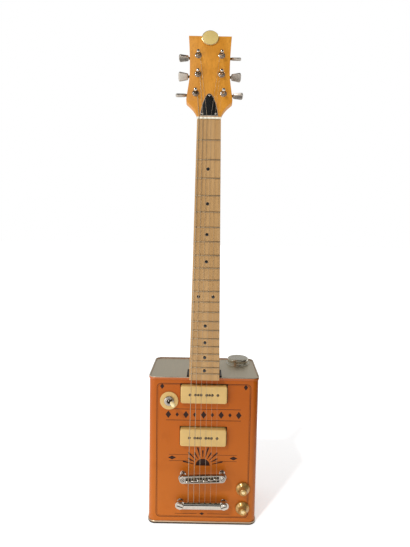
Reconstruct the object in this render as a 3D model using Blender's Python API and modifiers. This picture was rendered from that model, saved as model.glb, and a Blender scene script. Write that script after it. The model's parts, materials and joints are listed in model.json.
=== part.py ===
"""Oil can guitar: a rectangular tin can as the body, a maple neck, two pickups and six strings.

The guitar stands on the can's base, with +Z up and the player's side of the can facing -Y.
Lengths are in metres. Two kinds of frame hold the pieces:

  guitar frame  x to the right, y to the back, z up, with y = 0 on the can's front wall
  face frames   x to the right, y up, z out of the front: the can's face, neck, head and bridge
"""

import math

import bmesh
import bpy
from mathutils import Matrix, Vector

# Gap that touching pieces keep
GAP = 0.0003

# Can
CAN_WIDTH = 0.205
CAN_DEPTH = 0.129
CAN_HEIGHT = 0.288
CAN_CORNER = 0.013
TIN = 0.0005
SEAM_OUT = 0.0015
SEAM_IN = 0.0011
SEAM_HEIGHT = 0.0055
TOP_RECESS = 0.002
BASE_RECESS = 0.0024
PANEL = 0.0006
ARC_STEPS = 4

# Filler spout and its cap, near the rear right corner
SPOUT_X = 0.070
SPOUT_Y = 0.101
SPOUT_RADIUS = 0.019
SPOUT_BORE = 0.0165
SPOUT_RISE = 0.008
BEAD_RADIUS = 0.024
CAP_RADIUS = 0.0214
CAP_WALL = 0.0018
CAP_TOP = 0.001
LINER = 0.0007

# Front to back shift that centres the whole guitar over the origin
FRONT_Y = -0.0567

# Wooden block inside the can
BLOCK_HALF = 0.047
BLOCK_BACK = 0.058
POCKET_FLOOR = 0.0165

# Neck and fretboard
SCALE_LENGTH = 0.648
NUT_UP = 0.7545
NUT_OUT = 0.0031
NECK_LEAN = math.radians(1.58)
BOARD_LENGTH = 0.4675
BOARD_THICKNESS = 0.0055
NUT_HALF = 0.02105
BOARD_END_HALF = 0.02735
HEEL_HALF = 0.0284
HEEL_BACK = 0.052
HEEL_START = 0.402
HEEL_END = 0.455
SHAFT_DEPTH = 0.0145
SHAFT_DEPTH_GAIN = 0.0022
FRET_COUNT = 21
FRET_WIDTH = 0.0024
FRET_HEIGHT = 0.0011
TENON_BOTTOM = 0.215
SLOT_HALF = 0.033
SLOT_FRONT = 0.0029
SLOT_BACK = 0.053

# Nut
NUT_LOW = 0.0003
NUT_HIGH = 0.0038
NUT_TOP = 0.0023
NUT_SLOT = 0.0013

# Head
HEAD_START = 0.0042
HEAD_DROP = 0.0015
HEAD_TILT = math.radians(15)
HEAD_LENGTH = 0.165
HEAD_THICKNESS = 0.0135
HEAD_END_HALF = 0.0396
HEAD_WAIST_HALF = 0.0362
HEAD_WIDE_HALF = 0.0412
BADGE_RADIUS = 0.0155
BADGE_THICKNESS = 0.002
BADGE_UP = 0.1598
COVER_THICKNESS = 0.002

# Tuners, from the nut to the top of the head
POST_UP = (0.0462, 0.0848, 0.1238)
POST_X = (0.0248, 0.0212, 0.0213)
POST_RADIUS = 0.003
POST_WAIST = 0.0024
POST_RISE = 0.0135
STRING_RISE = 0.008
WORM_UP = 0.008
WORM_BACK = 0.0048
HOUSING_DEPTH = 0.009
BUTTON_TURN_BASS = (92, 8, 52)
BUTTON_TURN_TREBLE = (55, 25, 92)
VIEW_TILT = math.radians(38)

# Pickups
PICKUP_WIDTH = 0.0864
PICKUP_HEIGHT = 0.0334
PICKUP_CORNER = 0.0045
PICKUP_RISE = 0.009
NECK_PICKUP_UP = 0.2568
BRIDGE_PICKUP_UP = 0.1744

# Strings, bass to treble
STRING_RADII = (0.000584, 0.000457, 0.00033, 0.000216, 0.000165, 0.000127)
NUT_SPREAD = 0.035
SADDLE_SPREAD = 0.052

# Bridge
BRIDGE_UP = 0.1015
BRIDGE_SLANT = math.radians(2.2)
BRIDGE_WIDTH = 0.086
BRIDGE_HEIGHT = 0.015
BRIDGE_BACK = 0.0166
BRIDGE_FRONT = 0.0228
BRIDGE_POST_X = 0.037
SADDLE_TOP = 0.0254
SADDLE_OFFSETS = (-0.0022, -0.0012, -0.0002, -0.0012, -0.0002, 0.001)

# Tailpiece
TAILPIECE_UP = 0.0445
TAILPIECE_WIDTH = 0.101
TAILPIECE_HEIGHT = 0.0146
TAILPIECE_BACK = 0.008
TAILPIECE_FRONT = 0.018
STUD_X = 0.041
STRING_HOLE_OUT = 0.0145

# Controls
KNOB_X = 0.077
VOLUME_UP = 0.0725
TONE_UP = 0.034
TOGGLE_X = -0.0647
TOGGLE_UP = 0.2424
TOGGLE_PIVOT = 0.0015
TOGGLE_LEAN = math.radians(25)
JACK_Y = 0.070
JACK_Z = 0.060
JACK_BORE = 0.00325

# Back of the can
COVER_WIDTH = 0.110
COVER_HEIGHT = 0.160
COVER_Z = 0.150
STRAP_BUTTON_Z = 0.034
STRAP_BUTTON_LENGTH = 0.0117

# Frames
FACE = Matrix.Rotation(math.pi / 2, 4, "X")
NECK = FACE @ Matrix.Translation((0, NUT_UP, NUT_OUT)) @ Matrix.Rotation(-NECK_LEAN, 4, "X")
HEAD = NECK @ Matrix.Translation((0, HEAD_START, -HEAD_DROP)) @ Matrix.Rotation(-HEAD_TILT, 4, "X")
BRIDGE = FACE @ Matrix.Translation((0, BRIDGE_UP, 0)) @ Matrix.Rotation(BRIDGE_SLANT, 4, "Z")

# Finishes: colour, roughness, metallic
FINISHES = {
    "orange_tin": ((0.53, 0.14, 0.025), 0.35, 0.0),
    "bare_tin": ((0.45, 0.43, 0.38), 0.4, 0.9),
    "pewter": ((0.42, 0.41, 0.36), 0.35, 0.9),
    "block_wood": ((0.45, 0.30, 0.16), 0.7, 0.0),
    "maple": ((0.55, 0.34, 0.15), 0.4, 0.0),
    "bone": ((0.85, 0.80, 0.66), 0.4, 0.0),
    "black": ((0.015, 0.015, 0.015), 0.35, 0.0),
    "cream": ((0.75, 0.54, 0.24), 0.35, 0.0),
    "chrome": ((0.62, 0.61, 0.58), 0.15, 1.0),
    "nickel": ((0.42, 0.39, 0.35), 0.25, 1.0),
    "gold": ((0.65, 0.43, 0.12), 0.25, 0.6),
    "steel": ((0.5, 0.48, 0.45), 0.3, 1.0),
}


# Scene and collections


def clear_scene():
    for obj in list(bpy.data.objects):
        bpy.data.objects.remove(obj)


def new_collection(name):
    collection = bpy.data.collections.new(name)
    bpy.context.scene.collection.children.link(collection)
    return collection


def finish_material(name, finish):
    colour, roughness, metallic = FINISHES[finish]
    material = bpy.data.materials.new(name)
    material.use_nodes = True
    shader = material.node_tree.nodes["Principled BSDF"]
    shader.inputs["Base Color"].default_value = (*colour, 1)
    shader.inputs["Roughness"].default_value = roughness
    shader.inputs["Metallic"].default_value = metallic
    material.diffuse_color = (*colour, 1)
    return material


# Modelling tools


def tool_object(name, data):
    """A workpiece or a cutter, kept out of the guitar's own collection."""
    obj = bpy.data.objects.new(f"tool_{name}", data)
    obj.hide_render = True
    obj.display_type = "WIRE"
    cutters.objects.link(obj)
    return obj


def settle(obj):
    """Makes the evaluated shape the object's own mesh and drops its modifiers."""
    graph = bpy.context.evaluated_depsgraph_get()
    graph.update()
    mesh = bpy.data.meshes.new_from_object(obj.evaluated_get(graph))
    obj.modifiers.clear()
    obj.data = mesh
    return obj


def from_bmesh(name, bm):
    mesh = bpy.data.meshes.new(name)
    bm.to_mesh(mesh)
    bm.free()
    return tool_object(name, mesh)


def block(name, xs, ys, zs):
    """A box between two limits on each axis."""
    bm = bmesh.new()
    size = [high - low for low, high in (xs, ys, zs)]
    middle = [(low + high) / 2 for low, high in (xs, ys, zs)]
    bmesh.ops.create_cube(bm, size=1)
    bmesh.ops.scale(bm, vec=size, verts=bm.verts)
    bmesh.ops.translate(bm, vec=middle, verts=bm.verts)
    return from_bmesh(name, bm)


def rod(name, radius, start, end, sides=16):
    """A cylinder from one point to another."""
    start, end = Vector(start), Vector(end)
    along = end - start
    turn = along.to_track_quat("Z", "Y").to_matrix().to_4x4()
    bm = bmesh.new()
    bmesh.ops.create_cone(
        bm,
        cap_ends=True,
        segments=sides,
        radius1=radius,
        radius2=radius,
        depth=along.length,
        matrix=Matrix.Translation((start + end) / 2) @ turn,
    )
    return from_bmesh(name, bm)


def turned(name, profile, sides=16, closed=False):
    """A profile of (radius, height) points, top to bottom on the outer side, turned about Z."""
    mesh = bpy.data.meshes.new(name)
    points = [(radius, 0, height) for radius, height in profile]
    edges = [(k, k + 1) for k in range(len(points) - 1)]
    if closed:
        edges.append((len(points) - 1, 0))
    mesh.from_pydata(points, edges, [])
    obj = tool_object(name, mesh)
    screw = obj.modifiers.new("turn", "SCREW")
    screw.axis = "Z"
    screw.steps = sides
    screw.render_steps = sides
    screw.use_merge_vertices = True
    screw.merge_threshold = 0.00001
    return settle(obj)


def plate(name, outlines, low, high):
    """A flat outline with its inner outlines cut out, between two heights."""
    curve = bpy.data.curves.new(name, "CURVE")
    curve.dimensions = "2D"
    curve.fill_mode = "BOTH"
    curve.extrude = (high - low) / 2
    for points in outlines:
        spline = curve.splines.new("POLY")
        spline.points.add(len(points) - 1)
        for target, (x, y) in zip(spline.points, points):
            target.co = (x, y, 0, 1)
        spline.use_cyclic_u = True
    outline = tool_object(name, curve)
    graph = bpy.context.evaluated_depsgraph_get()
    graph.update()
    bm = bmesh.new()
    bm.from_mesh(bpy.data.meshes.new_from_object(outline.evaluated_get(graph)))
    bpy.data.objects.remove(outline)
    bmesh.ops.remove_doubles(bm, verts=bm.verts, dist=0.00001)
    bmesh.ops.translate(bm, vec=(0, 0, (low + high) / 2), verts=bm.verts)
    return from_bmesh(name, bm)


def combine(target, additions=(), cuts=()):
    """Adds and cuts other shapes, in that order, and uses them up."""
    tools = [(tool, "UNION") for tool in additions] + [(tool, "DIFFERENCE") for tool in cuts]
    for tool, operation in tools:
        boolean = target.modifiers.new(operation.lower(), "BOOLEAN")
        boolean.operation = operation
        boolean.solver = "EXACT"
        boolean.object = tool
    settle(target)
    for tool, _ in tools:
        bpy.data.objects.remove(tool)
    return target


def soften(obj, width, segments=1, angle=40):
    bevel = obj.modifiers.new("soften", "BEVEL")
    bevel.width = width
    bevel.segments = segments
    bevel.limit_method = "ANGLE"
    bevel.angle_limit = math.radians(angle)
    return settle(obj)


def moved(obj, matrix):
    """The same shape written in another frame."""
    obj.data.transform(matrix)
    return obj


def wire(name, radius, points):
    """A taut round wire through the points."""
    curve = bpy.data.curves.new(name, "CURVE")
    curve.dimensions = "3D"
    curve.bevel_depth = radius
    curve.bevel_resolution = 2
    curve.use_fill_caps = True
    spline = curve.splines.new("POLY")
    spline.points.add(len(points) - 1)
    for target, point in zip(spline.points, points):
        target.co = (*point, 1)
    return tool_object(name, curve)


def keep(name, shape, finish, frame, place=None):
    """Makes a shape a sub-part of the guitar: named, coloured, smoothed and placed in its frame."""
    obj = bpy.data.objects.new(name, shape.data)
    parts.objects.link(obj)
    obj.parent = frame
    obj.matrix_basis = place or Matrix.Identity(4)
    if obj.type == "MESH":
        obj.data.shade_smooth()
        obj.data.set_sharp_from_angle(angle=math.radians(35))
    material = finish_material(name, finish)
    if not obj.data.materials:
        obj.data.materials.append(material)
    obj.material_slots[0].link = "OBJECT"
    obj.material_slots[0].material = material
    return obj


# Outlines


def rounded_rectangle(width, height, radius, steps=ARC_STEPS):
    points = []
    for quarter, (sx, sy) in enumerate(((1, 1), (-1, 1), (-1, -1), (1, -1))):
        cx = sx * (width / 2 - radius)
        cy = sy * (height / 2 - radius)
        for step in range(steps + 1):
            angle = math.pi / 2 * (quarter + step / steps)
            points.append((cx + radius * math.cos(angle), cy + radius * math.sin(angle)))
    return points


def circle(radius, steps):
    angles = [2 * math.pi * k / steps for k in range(steps)]
    return [(radius * math.cos(angle), radius * math.sin(angle)) for angle in angles]


def bezier(start, handle_a, handle_b, end, steps):
    """Points of a cubic curve, without its last one."""
    found = []
    for step in range(steps):
        t = step / steps
        weights = ((1 - t) ** 3, 3 * t * (1 - t) ** 2, 3 * t * t * (1 - t), t**3)
        found.append(
            tuple(
                sum(w * p[axis] for w, p in zip(weights, (start, handle_a, handle_b, end)))
                for axis in (0, 1)
            )
        )
    return found


def both_sides(right):
    """A closed outline from its right half, listed from the bottom up."""
    return right + [(-x, y) for x, y in reversed(right) if x > GAP / 10]


def can_outline(grow):
    return rounded_rectangle(
        CAN_WIDTH + 2 * grow, CAN_DEPTH + 2 * grow, CAN_CORNER + grow
    )


# Can


def make_can_wall():
    wall = plate(
        "wall",
        (can_outline(0), can_outline(-TIN)),
        SEAM_HEIGHT + GAP,
        CAN_HEIGHT - SEAM_HEIGHT - GAP,
    )
    moved(wall, Matrix.Translation((0, CAN_DEPTH / 2, 0)))
    through = (-0.004, 0.004)
    cuts = []
    for up in (NECK_PICKUP_UP, BRIDGE_PICKUP_UP):
        half_width = PICKUP_WIDTH / 2 + 0.0011
        half_height = PICKUP_HEIGHT / 2 + 0.0014
        zs = (up + 0.0007 - half_height, up + 0.0007 + half_height)
        cuts.append(block("pickup_opening", (-half_width, half_width), through, zs))
    round_holes = [(TOGGLE_X, TOGGLE_UP, 0.0062), (KNOB_X, VOLUME_UP, 0.005), (KNOB_X, TONE_UP, 0.005)]
    for side in (-1, 1):
        post = BRIDGE @ Vector((side * BRIDGE_POST_X, 0, 0))
        round_holes.append((post.x, post.z, 0.0036))
        round_holes.append((side * STUD_X, TAILPIECE_UP, 0.0045))
    for x, z, radius in round_holes:
        cuts.append(rod("round_hole", radius, (x, through[0], z), (x, through[1], z)))
    jack_hole = rod("jack_hole", 0.0054, (-0.004, 0, 0), (0.004, 0, 0))
    cuts.append(moved(jack_hole, Matrix.Translation((CAN_WIDTH / 2, JACK_Y, JACK_Z))))
    half_width = COVER_WIDTH / 2 - 0.007
    half_height = COVER_HEIGHT / 2 - 0.007
    cuts.append(
        block(
            "access_opening",
            (-half_width, half_width),
            (CAN_DEPTH - 0.004, CAN_DEPTH + 0.004),
            (COVER_Z - half_height, COVER_Z + half_height),
        )
    )
    keep("can_body", combine(wall, cuts=cuts), "orange_tin", guitar)


def seamed_panel(name, low, panel_low):
    """The rolled seam all round with its flat panel."""
    middle = Matrix.Translation((0, CAN_DEPTH / 2, 0))
    seam = plate("seam", (can_outline(SEAM_OUT), can_outline(-SEAM_IN)), low, low + SEAM_HEIGHT)
    soften(seam, 0.0006, angle=60)
    panel = plate(name, (can_outline(-SEAM_IN / 2),), panel_low, panel_low + PANEL)
    return moved(seam, middle), moved(panel, middle)


def make_can_ends():
    seam, panel = seamed_panel("base_panel", 0, BASE_RECESS)
    keep("can_base", combine(seam, additions=(panel,)), "bare_tin", guitar)

    panel_top = CAN_HEIGHT - TOP_RECESS
    seam, panel = seamed_panel("top_panel", CAN_HEIGHT - SEAM_HEIGHT, panel_top - PANEL)
    foot = panel_top - PANEL / 2
    lip = CAN_HEIGHT + SPOUT_RISE
    bead_top = CAN_HEIGHT - GAP
    profile = (
        (SPOUT_RADIUS, lip),
        (SPOUT_RADIUS, bead_top),
        (BEAD_RADIUS - 0.0012, bead_top),
        (BEAD_RADIUS, bead_top - 0.0009),
        (BEAD_RADIUS, panel_top + 0.0002),
        (BEAD_RADIUS - 0.0012, foot),
        (SPOUT_BORE, foot),
        (SPOUT_BORE, lip),
    )
    spout_at = Matrix.Translation((SPOUT_X, SPOUT_Y, 0))
    spout = moved(turned("spout", profile, 24, closed=True), spout_at)
    inner = SPOUT_BORE - GAP
    bore = rod(
        "bore",
        inner,
        (SPOUT_X, SPOUT_Y, panel_top - 0.01),
        (SPOUT_X, SPOUT_Y, panel_top + 0.01),
        24,
    )
    neck_slot = block(
        "neck_slot",
        (-SLOT_HALF, SLOT_HALF),
        (SLOT_FRONT, SLOT_BACK),
        (panel_top - 0.01, panel_top + 0.01),
    )
    keep("can_top", combine(seam, (panel, spout), (bore, neck_slot)), "bare_tin", guitar)
    return lip


def make_cap(lip):
    """The screw cap over the spout, and the sealing disc inside it that rises with it."""
    at_spout = Matrix.Translation((SPOUT_X, SPOUT_Y, lip))
    liner = rod("liner", SPOUT_RADIUS - 0.0002, (0, 0, GAP), (0, 0, GAP + LINER), 24)
    keep("cap_liner", liner, "bone", guitar, at_spout)
    ceiling = 2 * GAP + LINER
    skirt = -SPOUT_RISE - 0.0001
    outer = CAP_RADIUS
    profile = (
        (0, ceiling + CAP_TOP),
        (outer - 0.0022, ceiling + CAP_TOP),
        (outer - 0.0006, ceiling + CAP_TOP - 0.0006),
        (outer, ceiling + CAP_TOP - 0.002),
        (outer, skirt + 0.001),
        (outer - 0.0004, skirt),
        (outer - CAP_WALL, skirt),
        (outer - CAP_WALL, ceiling),
        (0, ceiling),
    )
    keep("spout_cap", turned("cap", profile, 28), "pewter", guitar, at_spout)


def make_back():
    outline = rounded_rectangle(COVER_WIDTH, COVER_HEIGHT, 0.008)
    cover = plate("cover", (outline,), 0, 0.0012)
    outward = Matrix.Rotation(-math.pi / 2, 4, "X")
    cover_at = Matrix.Translation((0, CAN_DEPTH + GAP, COVER_Z)) @ outward
    keep("back_cover", cover, "bare_tin", guitar, cover_at)
    length = STRAP_BUTTON_LENGTH
    profile = (
        (0, length),
        (0.0066, length),
        (0.0075, length - 0.0009),
        (0.0075, length - 0.0024),
        (0.0045, length - 0.0048),
        (0.0043, 0.0032),
        (0.0062, 0.0012),
        (0.0062, 0),
        (0, 0),
    )
    button_at = Matrix.Translation((0, CAN_DEPTH + GAP, STRAP_BUTTON_Z)) @ outward
    keep("strap_button_tail", turned("strap_button", profile), "chrome", guitar, button_at)


def make_block():
    """The wooden block behind the front wall, which holds the neck, pickups, bridge and tailpiece."""
    front = SEAM_IN + GAP
    top = CAN_HEIGHT - TOP_RECESS - PANEL - GAP
    wood = block(
        "wood",
        (-BLOCK_HALF, BLOCK_HALF),
        (front, BLOCK_BACK),
        (BASE_RECESS + PANEL + GAP, top),
    )
    beyond = (-0.06, 0.06)
    half = PICKUP_HEIGHT / 2 + 0.002
    cuts = [
        block("neck_pickup_pocket", beyond, (-0.01, POCKET_FLOOR), (NECK_PICKUP_UP - half, 0.3)),
        block(
            "bridge_pickup_pocket",
            beyond,
            (-0.01, POCKET_FLOOR),
            (BRIDGE_PICKUP_UP - half, BRIDGE_PICKUP_UP + half),
        ),
        block(
            "tenon_pocket",
            (-HEEL_HALF - GAP, HEEL_HALF + GAP),
            (POCKET_FLOOR - 0.001, BLOCK_BACK + 0.01),
            (TENON_BOTTOM - GAP, 0.3),
        ),
    ]
    for side in (-1, 1):
        post = BRIDGE @ Vector((side * BRIDGE_POST_X, 0, 0))
        cuts.append(rod("post_hole", 0.003, (post.x, -0.01, post.z), (post.x, 0.0235, post.z)))
        x = side * STUD_X
        cuts.append(rod("stud_hole", 0.0039, (x, -0.01, TAILPIECE_UP), (x, 0.0255, TAILPIECE_UP)))
    keep("centre_block", combine(wood, cuts=cuts), "block_wood", guitar)


# Neck


def board_half(below_nut):
    share = below_nut / BOARD_LENGTH
    return NUT_HALF + (BOARD_END_HALF - NUT_HALF) * share


def fret_distance(number):
    return SCALE_LENGTH * (1 - 2 ** (-number / 12))


def shaft_section(below_nut):
    """Half width, depth and squareness of the neck behind the board at a distance below the nut."""
    depth = SHAFT_DEPTH + SHAFT_DEPTH_GAIN * max(below_nut, 0) / BOARD_LENGTH
    half = board_half(below_nut)
    squareness = 2.3
    if below_nut > HEEL_START:
        along = min((below_nut - HEEL_START) / (HEEL_END - HEEL_START), 1)
        front = -NUT_OUT - below_nut * math.sin(NECK_LEAN) + BOARD_THICKNESS + GAP
        full = HEEL_BACK - front
        depth += (full - depth) * (1 - math.sqrt(max(1 - along * along, 0)))
        half += (HEEL_HALF - half) * along
        squareness += 9 * along
    return half, depth, squareness


def neck_shaft():
    """The rounded shaft and the swept heel, as one loft from the head to the board's end."""
    heel_steps = 6
    turns = [math.pi / 2 * k / heel_steps for k in range(heel_steps + 1)]
    curve = [HEEL_START + (HEEL_END - HEEL_START) * math.sin(turn) for turn in turns]
    stations = [-0.019, 0.2] + curve + [BOARD_LENGTH]
    around = 12
    front = -BOARD_THICKNESS - GAP
    bm = bmesh.new()
    rings = []
    for below_nut in stations:
        half, depth, squareness = shaft_section(below_nut)
        power = 2 / squareness
        ring = []
        for step in range(around + 1):
            angle = math.pi * step / around
            x = math.copysign(abs(math.cos(angle)) ** power, math.cos(angle)) * half
            z = front - depth * abs(math.sin(angle)) ** power
            if step in (0, around):
                z = front
            if 2 * step == around:
                x = 0
            ring.append(bm.verts.new((x, -below_nut, z)))
        rings.append(ring)
    for upper, lower in zip(rings, rings[1:]):
        for k in range(around + 1):
            after = (k + 1) % (around + 1)
            bm.faces.new((upper[k], upper[after], lower[after], lower[k]))
    bm.faces.new(rings[0])
    bm.faces.new(reversed(rings[-1]))
    bmesh.ops.recalc_face_normals(bm, faces=bm.faces)
    return moved(from_bmesh("shaft", bm), NECK)


def head_outline():
    """Flared sides, sharp top corners and an S-curve in to the nut."""
    shoulder = (0.0398, 0.0292)
    widest = (HEAD_WIDE_HALF, 0.0345)
    waist = (HEAD_WAIST_HALF, 0.088)
    corner = (HEAD_END_HALF, HEAD_LENGTH)
    right = bezier((0.0208, 0), (0.0216, 0.012), (0.034, 0.0245), shoulder, 7)
    right += bezier(shoulder, (0.0408, 0.0302), (HEAD_WIDE_HALF, 0.0322), widest, 4)
    right += bezier(widest, (0.0404, 0.047), (HEAD_WAIST_HALF, 0.070), waist, 5)
    right += bezier(waist, (HEAD_WAIST_HALF, 0.110), (0.0376, 0.140), corner, 5)
    right.append(corner)
    return both_sides(right)


def make_neck():
    head = moved(plate("head", (head_outline(),), -HEAD_THICKNESS, 0), HEAD)
    inset = 0.0004
    heel_front = 0.0033
    rim_top = CAN_HEIGHT + 0.0004
    hidden = HEEL_HALF - inset
    heel = block("heel", (-hidden, hidden), (heel_front + 0.001, HEEL_BACK - inset), (0.279, 0.293))
    tenon = block(
        "tenon",
        (-hidden + inset, hidden - inset),
        (POCKET_FLOOR + GAP, HEEL_BACK - 2 * inset),
        (TENON_BOTTOM, 0.2845),
    )
    reach = 0.04
    kerf = block("kerf", (-reach, reach), (-0.0019, heel_front), (0.27, rim_top))
    floor = -BOARD_THICKNESS - GAP
    nut_seat = block("nut_seat", (-reach, reach), (-0.004, NUT_HIGH + GAP), (floor, 0.02))
    channel = block("channel", (-0.0032, 0.0032), (-0.430, 0.030), (-0.0145, -0.005))
    cuts = [kerf, moved(nut_seat, NECK), moved(channel, NECK)]
    for x, up in zip(POST_X, POST_UP):
        for side in (-1, 1):
            hole = rod("post_hole", 0.0052, (side * x, up, -0.02), (side * x, up, 0.01))
            cuts.append(moved(hole, HEAD))
    keep("neck", combine(neck_shaft(), (head, heel, tenon), cuts), "maple", guitar)

    rod_height = -0.0106
    steel = rod("steel", 0.0026, (0, 0.024, rod_height), (0, -0.425, rod_height), 12)
    keep("truss_rod", steel, "steel", neck_frame)


def make_fretboard():
    """The tapered board with its frets seated in it."""
    corners = (
        (-NUT_HALF, 0),
        (-BOARD_END_HALF, -BOARD_LENGTH),
        (BOARD_END_HALF, -BOARD_LENGTH),
        (NUT_HALF, 0),
    )
    board = plate("board", (corners,), -BOARD_THICKNESS, 0)
    frets = []
    for number in range(1, FRET_COUNT + 1):
        middle = -fret_distance(number)
        half = board_half(-middle) - 0.0003
        fret = block(
            "fret",
            (-half, half),
            (middle - FRET_WIDTH / 2, middle + FRET_WIDTH / 2),
            (-0.0008, FRET_HEIGHT),
        )
        for vert in fret.data.vertices:
            if vert.co.z > 0:
                vert.co.y = middle + (vert.co.y - middle) * 0.55
                vert.co.x *= 1 - 0.0009 / half
        frets.append(fret)
    keep("fretboard", combine(board, additions=frets), "maple", neck_frame)


def string_x(index, spread):
    return (index / 5 - 0.5) * spread


def make_nut():
    low = -BOARD_THICKNESS
    bone = block("bone", (-NUT_HALF, NUT_HALF), (NUT_LOW, NUT_HIGH), (low, NUT_TOP))
    cuts = []
    for index, radius in enumerate(STRING_RADII):
        x = string_x(index, NUT_SPREAD)
        half = radius + GAP
        cuts.append(block("slot", (x - half, x + half), (-0.01, 0.01), (NUT_SLOT, 0.01)))
    keep("nut", combine(bone, cuts=cuts), "bone", neck_frame)


def make_head_fittings():
    right = [(0.0158, 0.0015), (0.0155, 0.006)]
    right += bezier((0.0148, 0.0105), (0.0128, 0.022), (0.0098, 0.036), (0.0036, 0.0436), 7)
    right += bezier((0.0036, 0.0436), (0.0026, 0.0449), (0.0012, 0.0453), (0, 0.0453), 3)
    right.append((0, 0.0453))
    cover = plate("cover", (both_sides(right),), GAP, GAP + COVER_THICKNESS)
    keep("truss_rod_cover", cover, "black", head_frame)
    disc = rod("disc", BADGE_RADIUS, (0, 0, GAP), (0, 0, GAP + BADGE_THICKNESS), 32)
    keep("head_badge", disc, "cream", head_frame, Matrix.Translation((0, BADGE_UP, 0)))


# Tuners


def housing_shape():
    """Gear housing behind the head, with its bushing, washer and hex nut in front: right side."""
    back = -HEAD_THICKNESS - GAP
    worm_out = back - WORM_BACK + GAP
    case = block("case", (-0.0075, 0.0085), (-0.007, 0.013), (back - HOUSING_DEPTH, back))
    sleeve = rod("sleeve", 0.0048, (0, 0, back - 0.001), (0, 0, 0.0036), 14)
    washer = rod("washer", 0.0061, (0, 0, GAP), (0, 0, 0.0013), 16)
    nut = rod("hex", 0.0057, (0, 0, 0.001), (0, 0, 0.0031), 6)
    post_bore = rod("post_bore", POST_RADIUS + GAP, (0, 0, -0.0214), (0, 0, 0.01), 12)
    worm_bore = rod("worm_bore", 0.0023, (-0.005, WORM_UP, worm_out), (0.012, WORM_UP, worm_out), 10)
    return combine(case, (sleeve, washer, nut), (post_bore, worm_bore)), worm_out


def button_shape():
    """Worm shaft with its collar and the keystone paddle, for the right side, about the worm's axis."""
    upper = [(0.0190, 0.0038), (0.0203, 0.0050), (0.0262, 0.0067), (0.0335, 0.0083)]
    upper += [(0.0350, 0.0079), (0.0358, 0.0063), (0.0362, 0.0031)]
    outline = upper + [(x, -y) for x, y in reversed(upper)]
    paddle = soften(plate("paddle", (outline,), -0.0027, 0.0027), 0.0013, angle=50)
    shaft = rod("shaft", 0.002, (-0.0045, 0, 0), (0.022, 0, 0), 10)
    collar = rod("collar", 0.0034, (0.0089, 0, 0), (0.0112, 0, 0), 12)
    neck_ring = rod("neck_ring", 0.0031, (0.0160, 0, 0), (0.0200, 0, 0), 12)
    return combine(shaft, (collar, neck_ring, paddle))


def post_shape():
    top = POST_RISE
    profile = (
        (0, top),
        (0.0026, top),
        (POST_RADIUS, top - 0.0005),
        (POST_RADIUS, top - 0.003),
        (POST_WAIST, top - 0.0042),
        (POST_WAIST, 0.0066),
        (POST_RADIUS, 0.0052),
        (POST_RADIUS, -0.0211),
        (0, -0.0211),
    )
    post = turned("post", profile, 12)
    hole = rod("string_hole", 0.0009, (-0.006, 0, STRING_RISE), (0.006, 0, STRING_RISE), 8)
    return combine(post, cuts=(hole,))


def make_tuners():
    """Tuners 1 to 3 run up the bass side from the nut, and 4 to 6 down the treble side."""
    housing, worm_out = housing_shape()
    button = button_shape()
    post = post_shape()
    mirror = Matrix.Diagonal((-1, 1, 1, 1))
    shapes = {1: (housing, button)}
    mirrored = []
    for shape in (housing, button):
        mesh = shape.data.copy()
        mesh.transform(mirror)
        mesh.flip_normals()
        mirrored.append(tool_object("mirrored", mesh))
    shapes[-1] = tuple(mirrored)
    places = [(-1, row) for row in (0, 1, 2)] + [(1, row) for row in (2, 1, 0)]
    for number, (side, row) in enumerate(places, 1):
        place = Matrix.Translation((side * POST_X[row], POST_UP[row], 0))
        turns = BUTTON_TURN_BASS if side < 0 else BUTTON_TURN_TREBLE
        turn = VIEW_TILT + math.radians(turns[row])
        worm = Matrix.Translation((0, WORM_UP, worm_out)) @ Matrix.Rotation(turn, 4, "X")
        worm_at = place @ worm
        keep(f"tuner_housing_{number}", shapes[side][0], "chrome", head_frame, place)
        keep(f"tuner_button_{number}", shapes[side][1], "nickel", head_frame, worm_at)
        keep(f"tuner_post_{number}", post, "chrome", head_frame, place)


# Pickups, bridge and tailpiece


def make_pickups():
    for name, up in (("neck_pickup", NECK_PICKUP_UP), ("bridge_pickup", BRIDGE_PICKUP_UP)):
        outline = rounded_rectangle(PICKUP_WIDTH, PICKUP_HEIGHT, PICKUP_CORNER, 3)
        cover = plate("cover", (outline,), GAP - POCKET_FLOOR, PICKUP_RISE)
        soften(cover, 0.001, angle=50)
        keep(name, cover, "cream", face_frame, Matrix.Translation((0, up, 0)))


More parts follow.
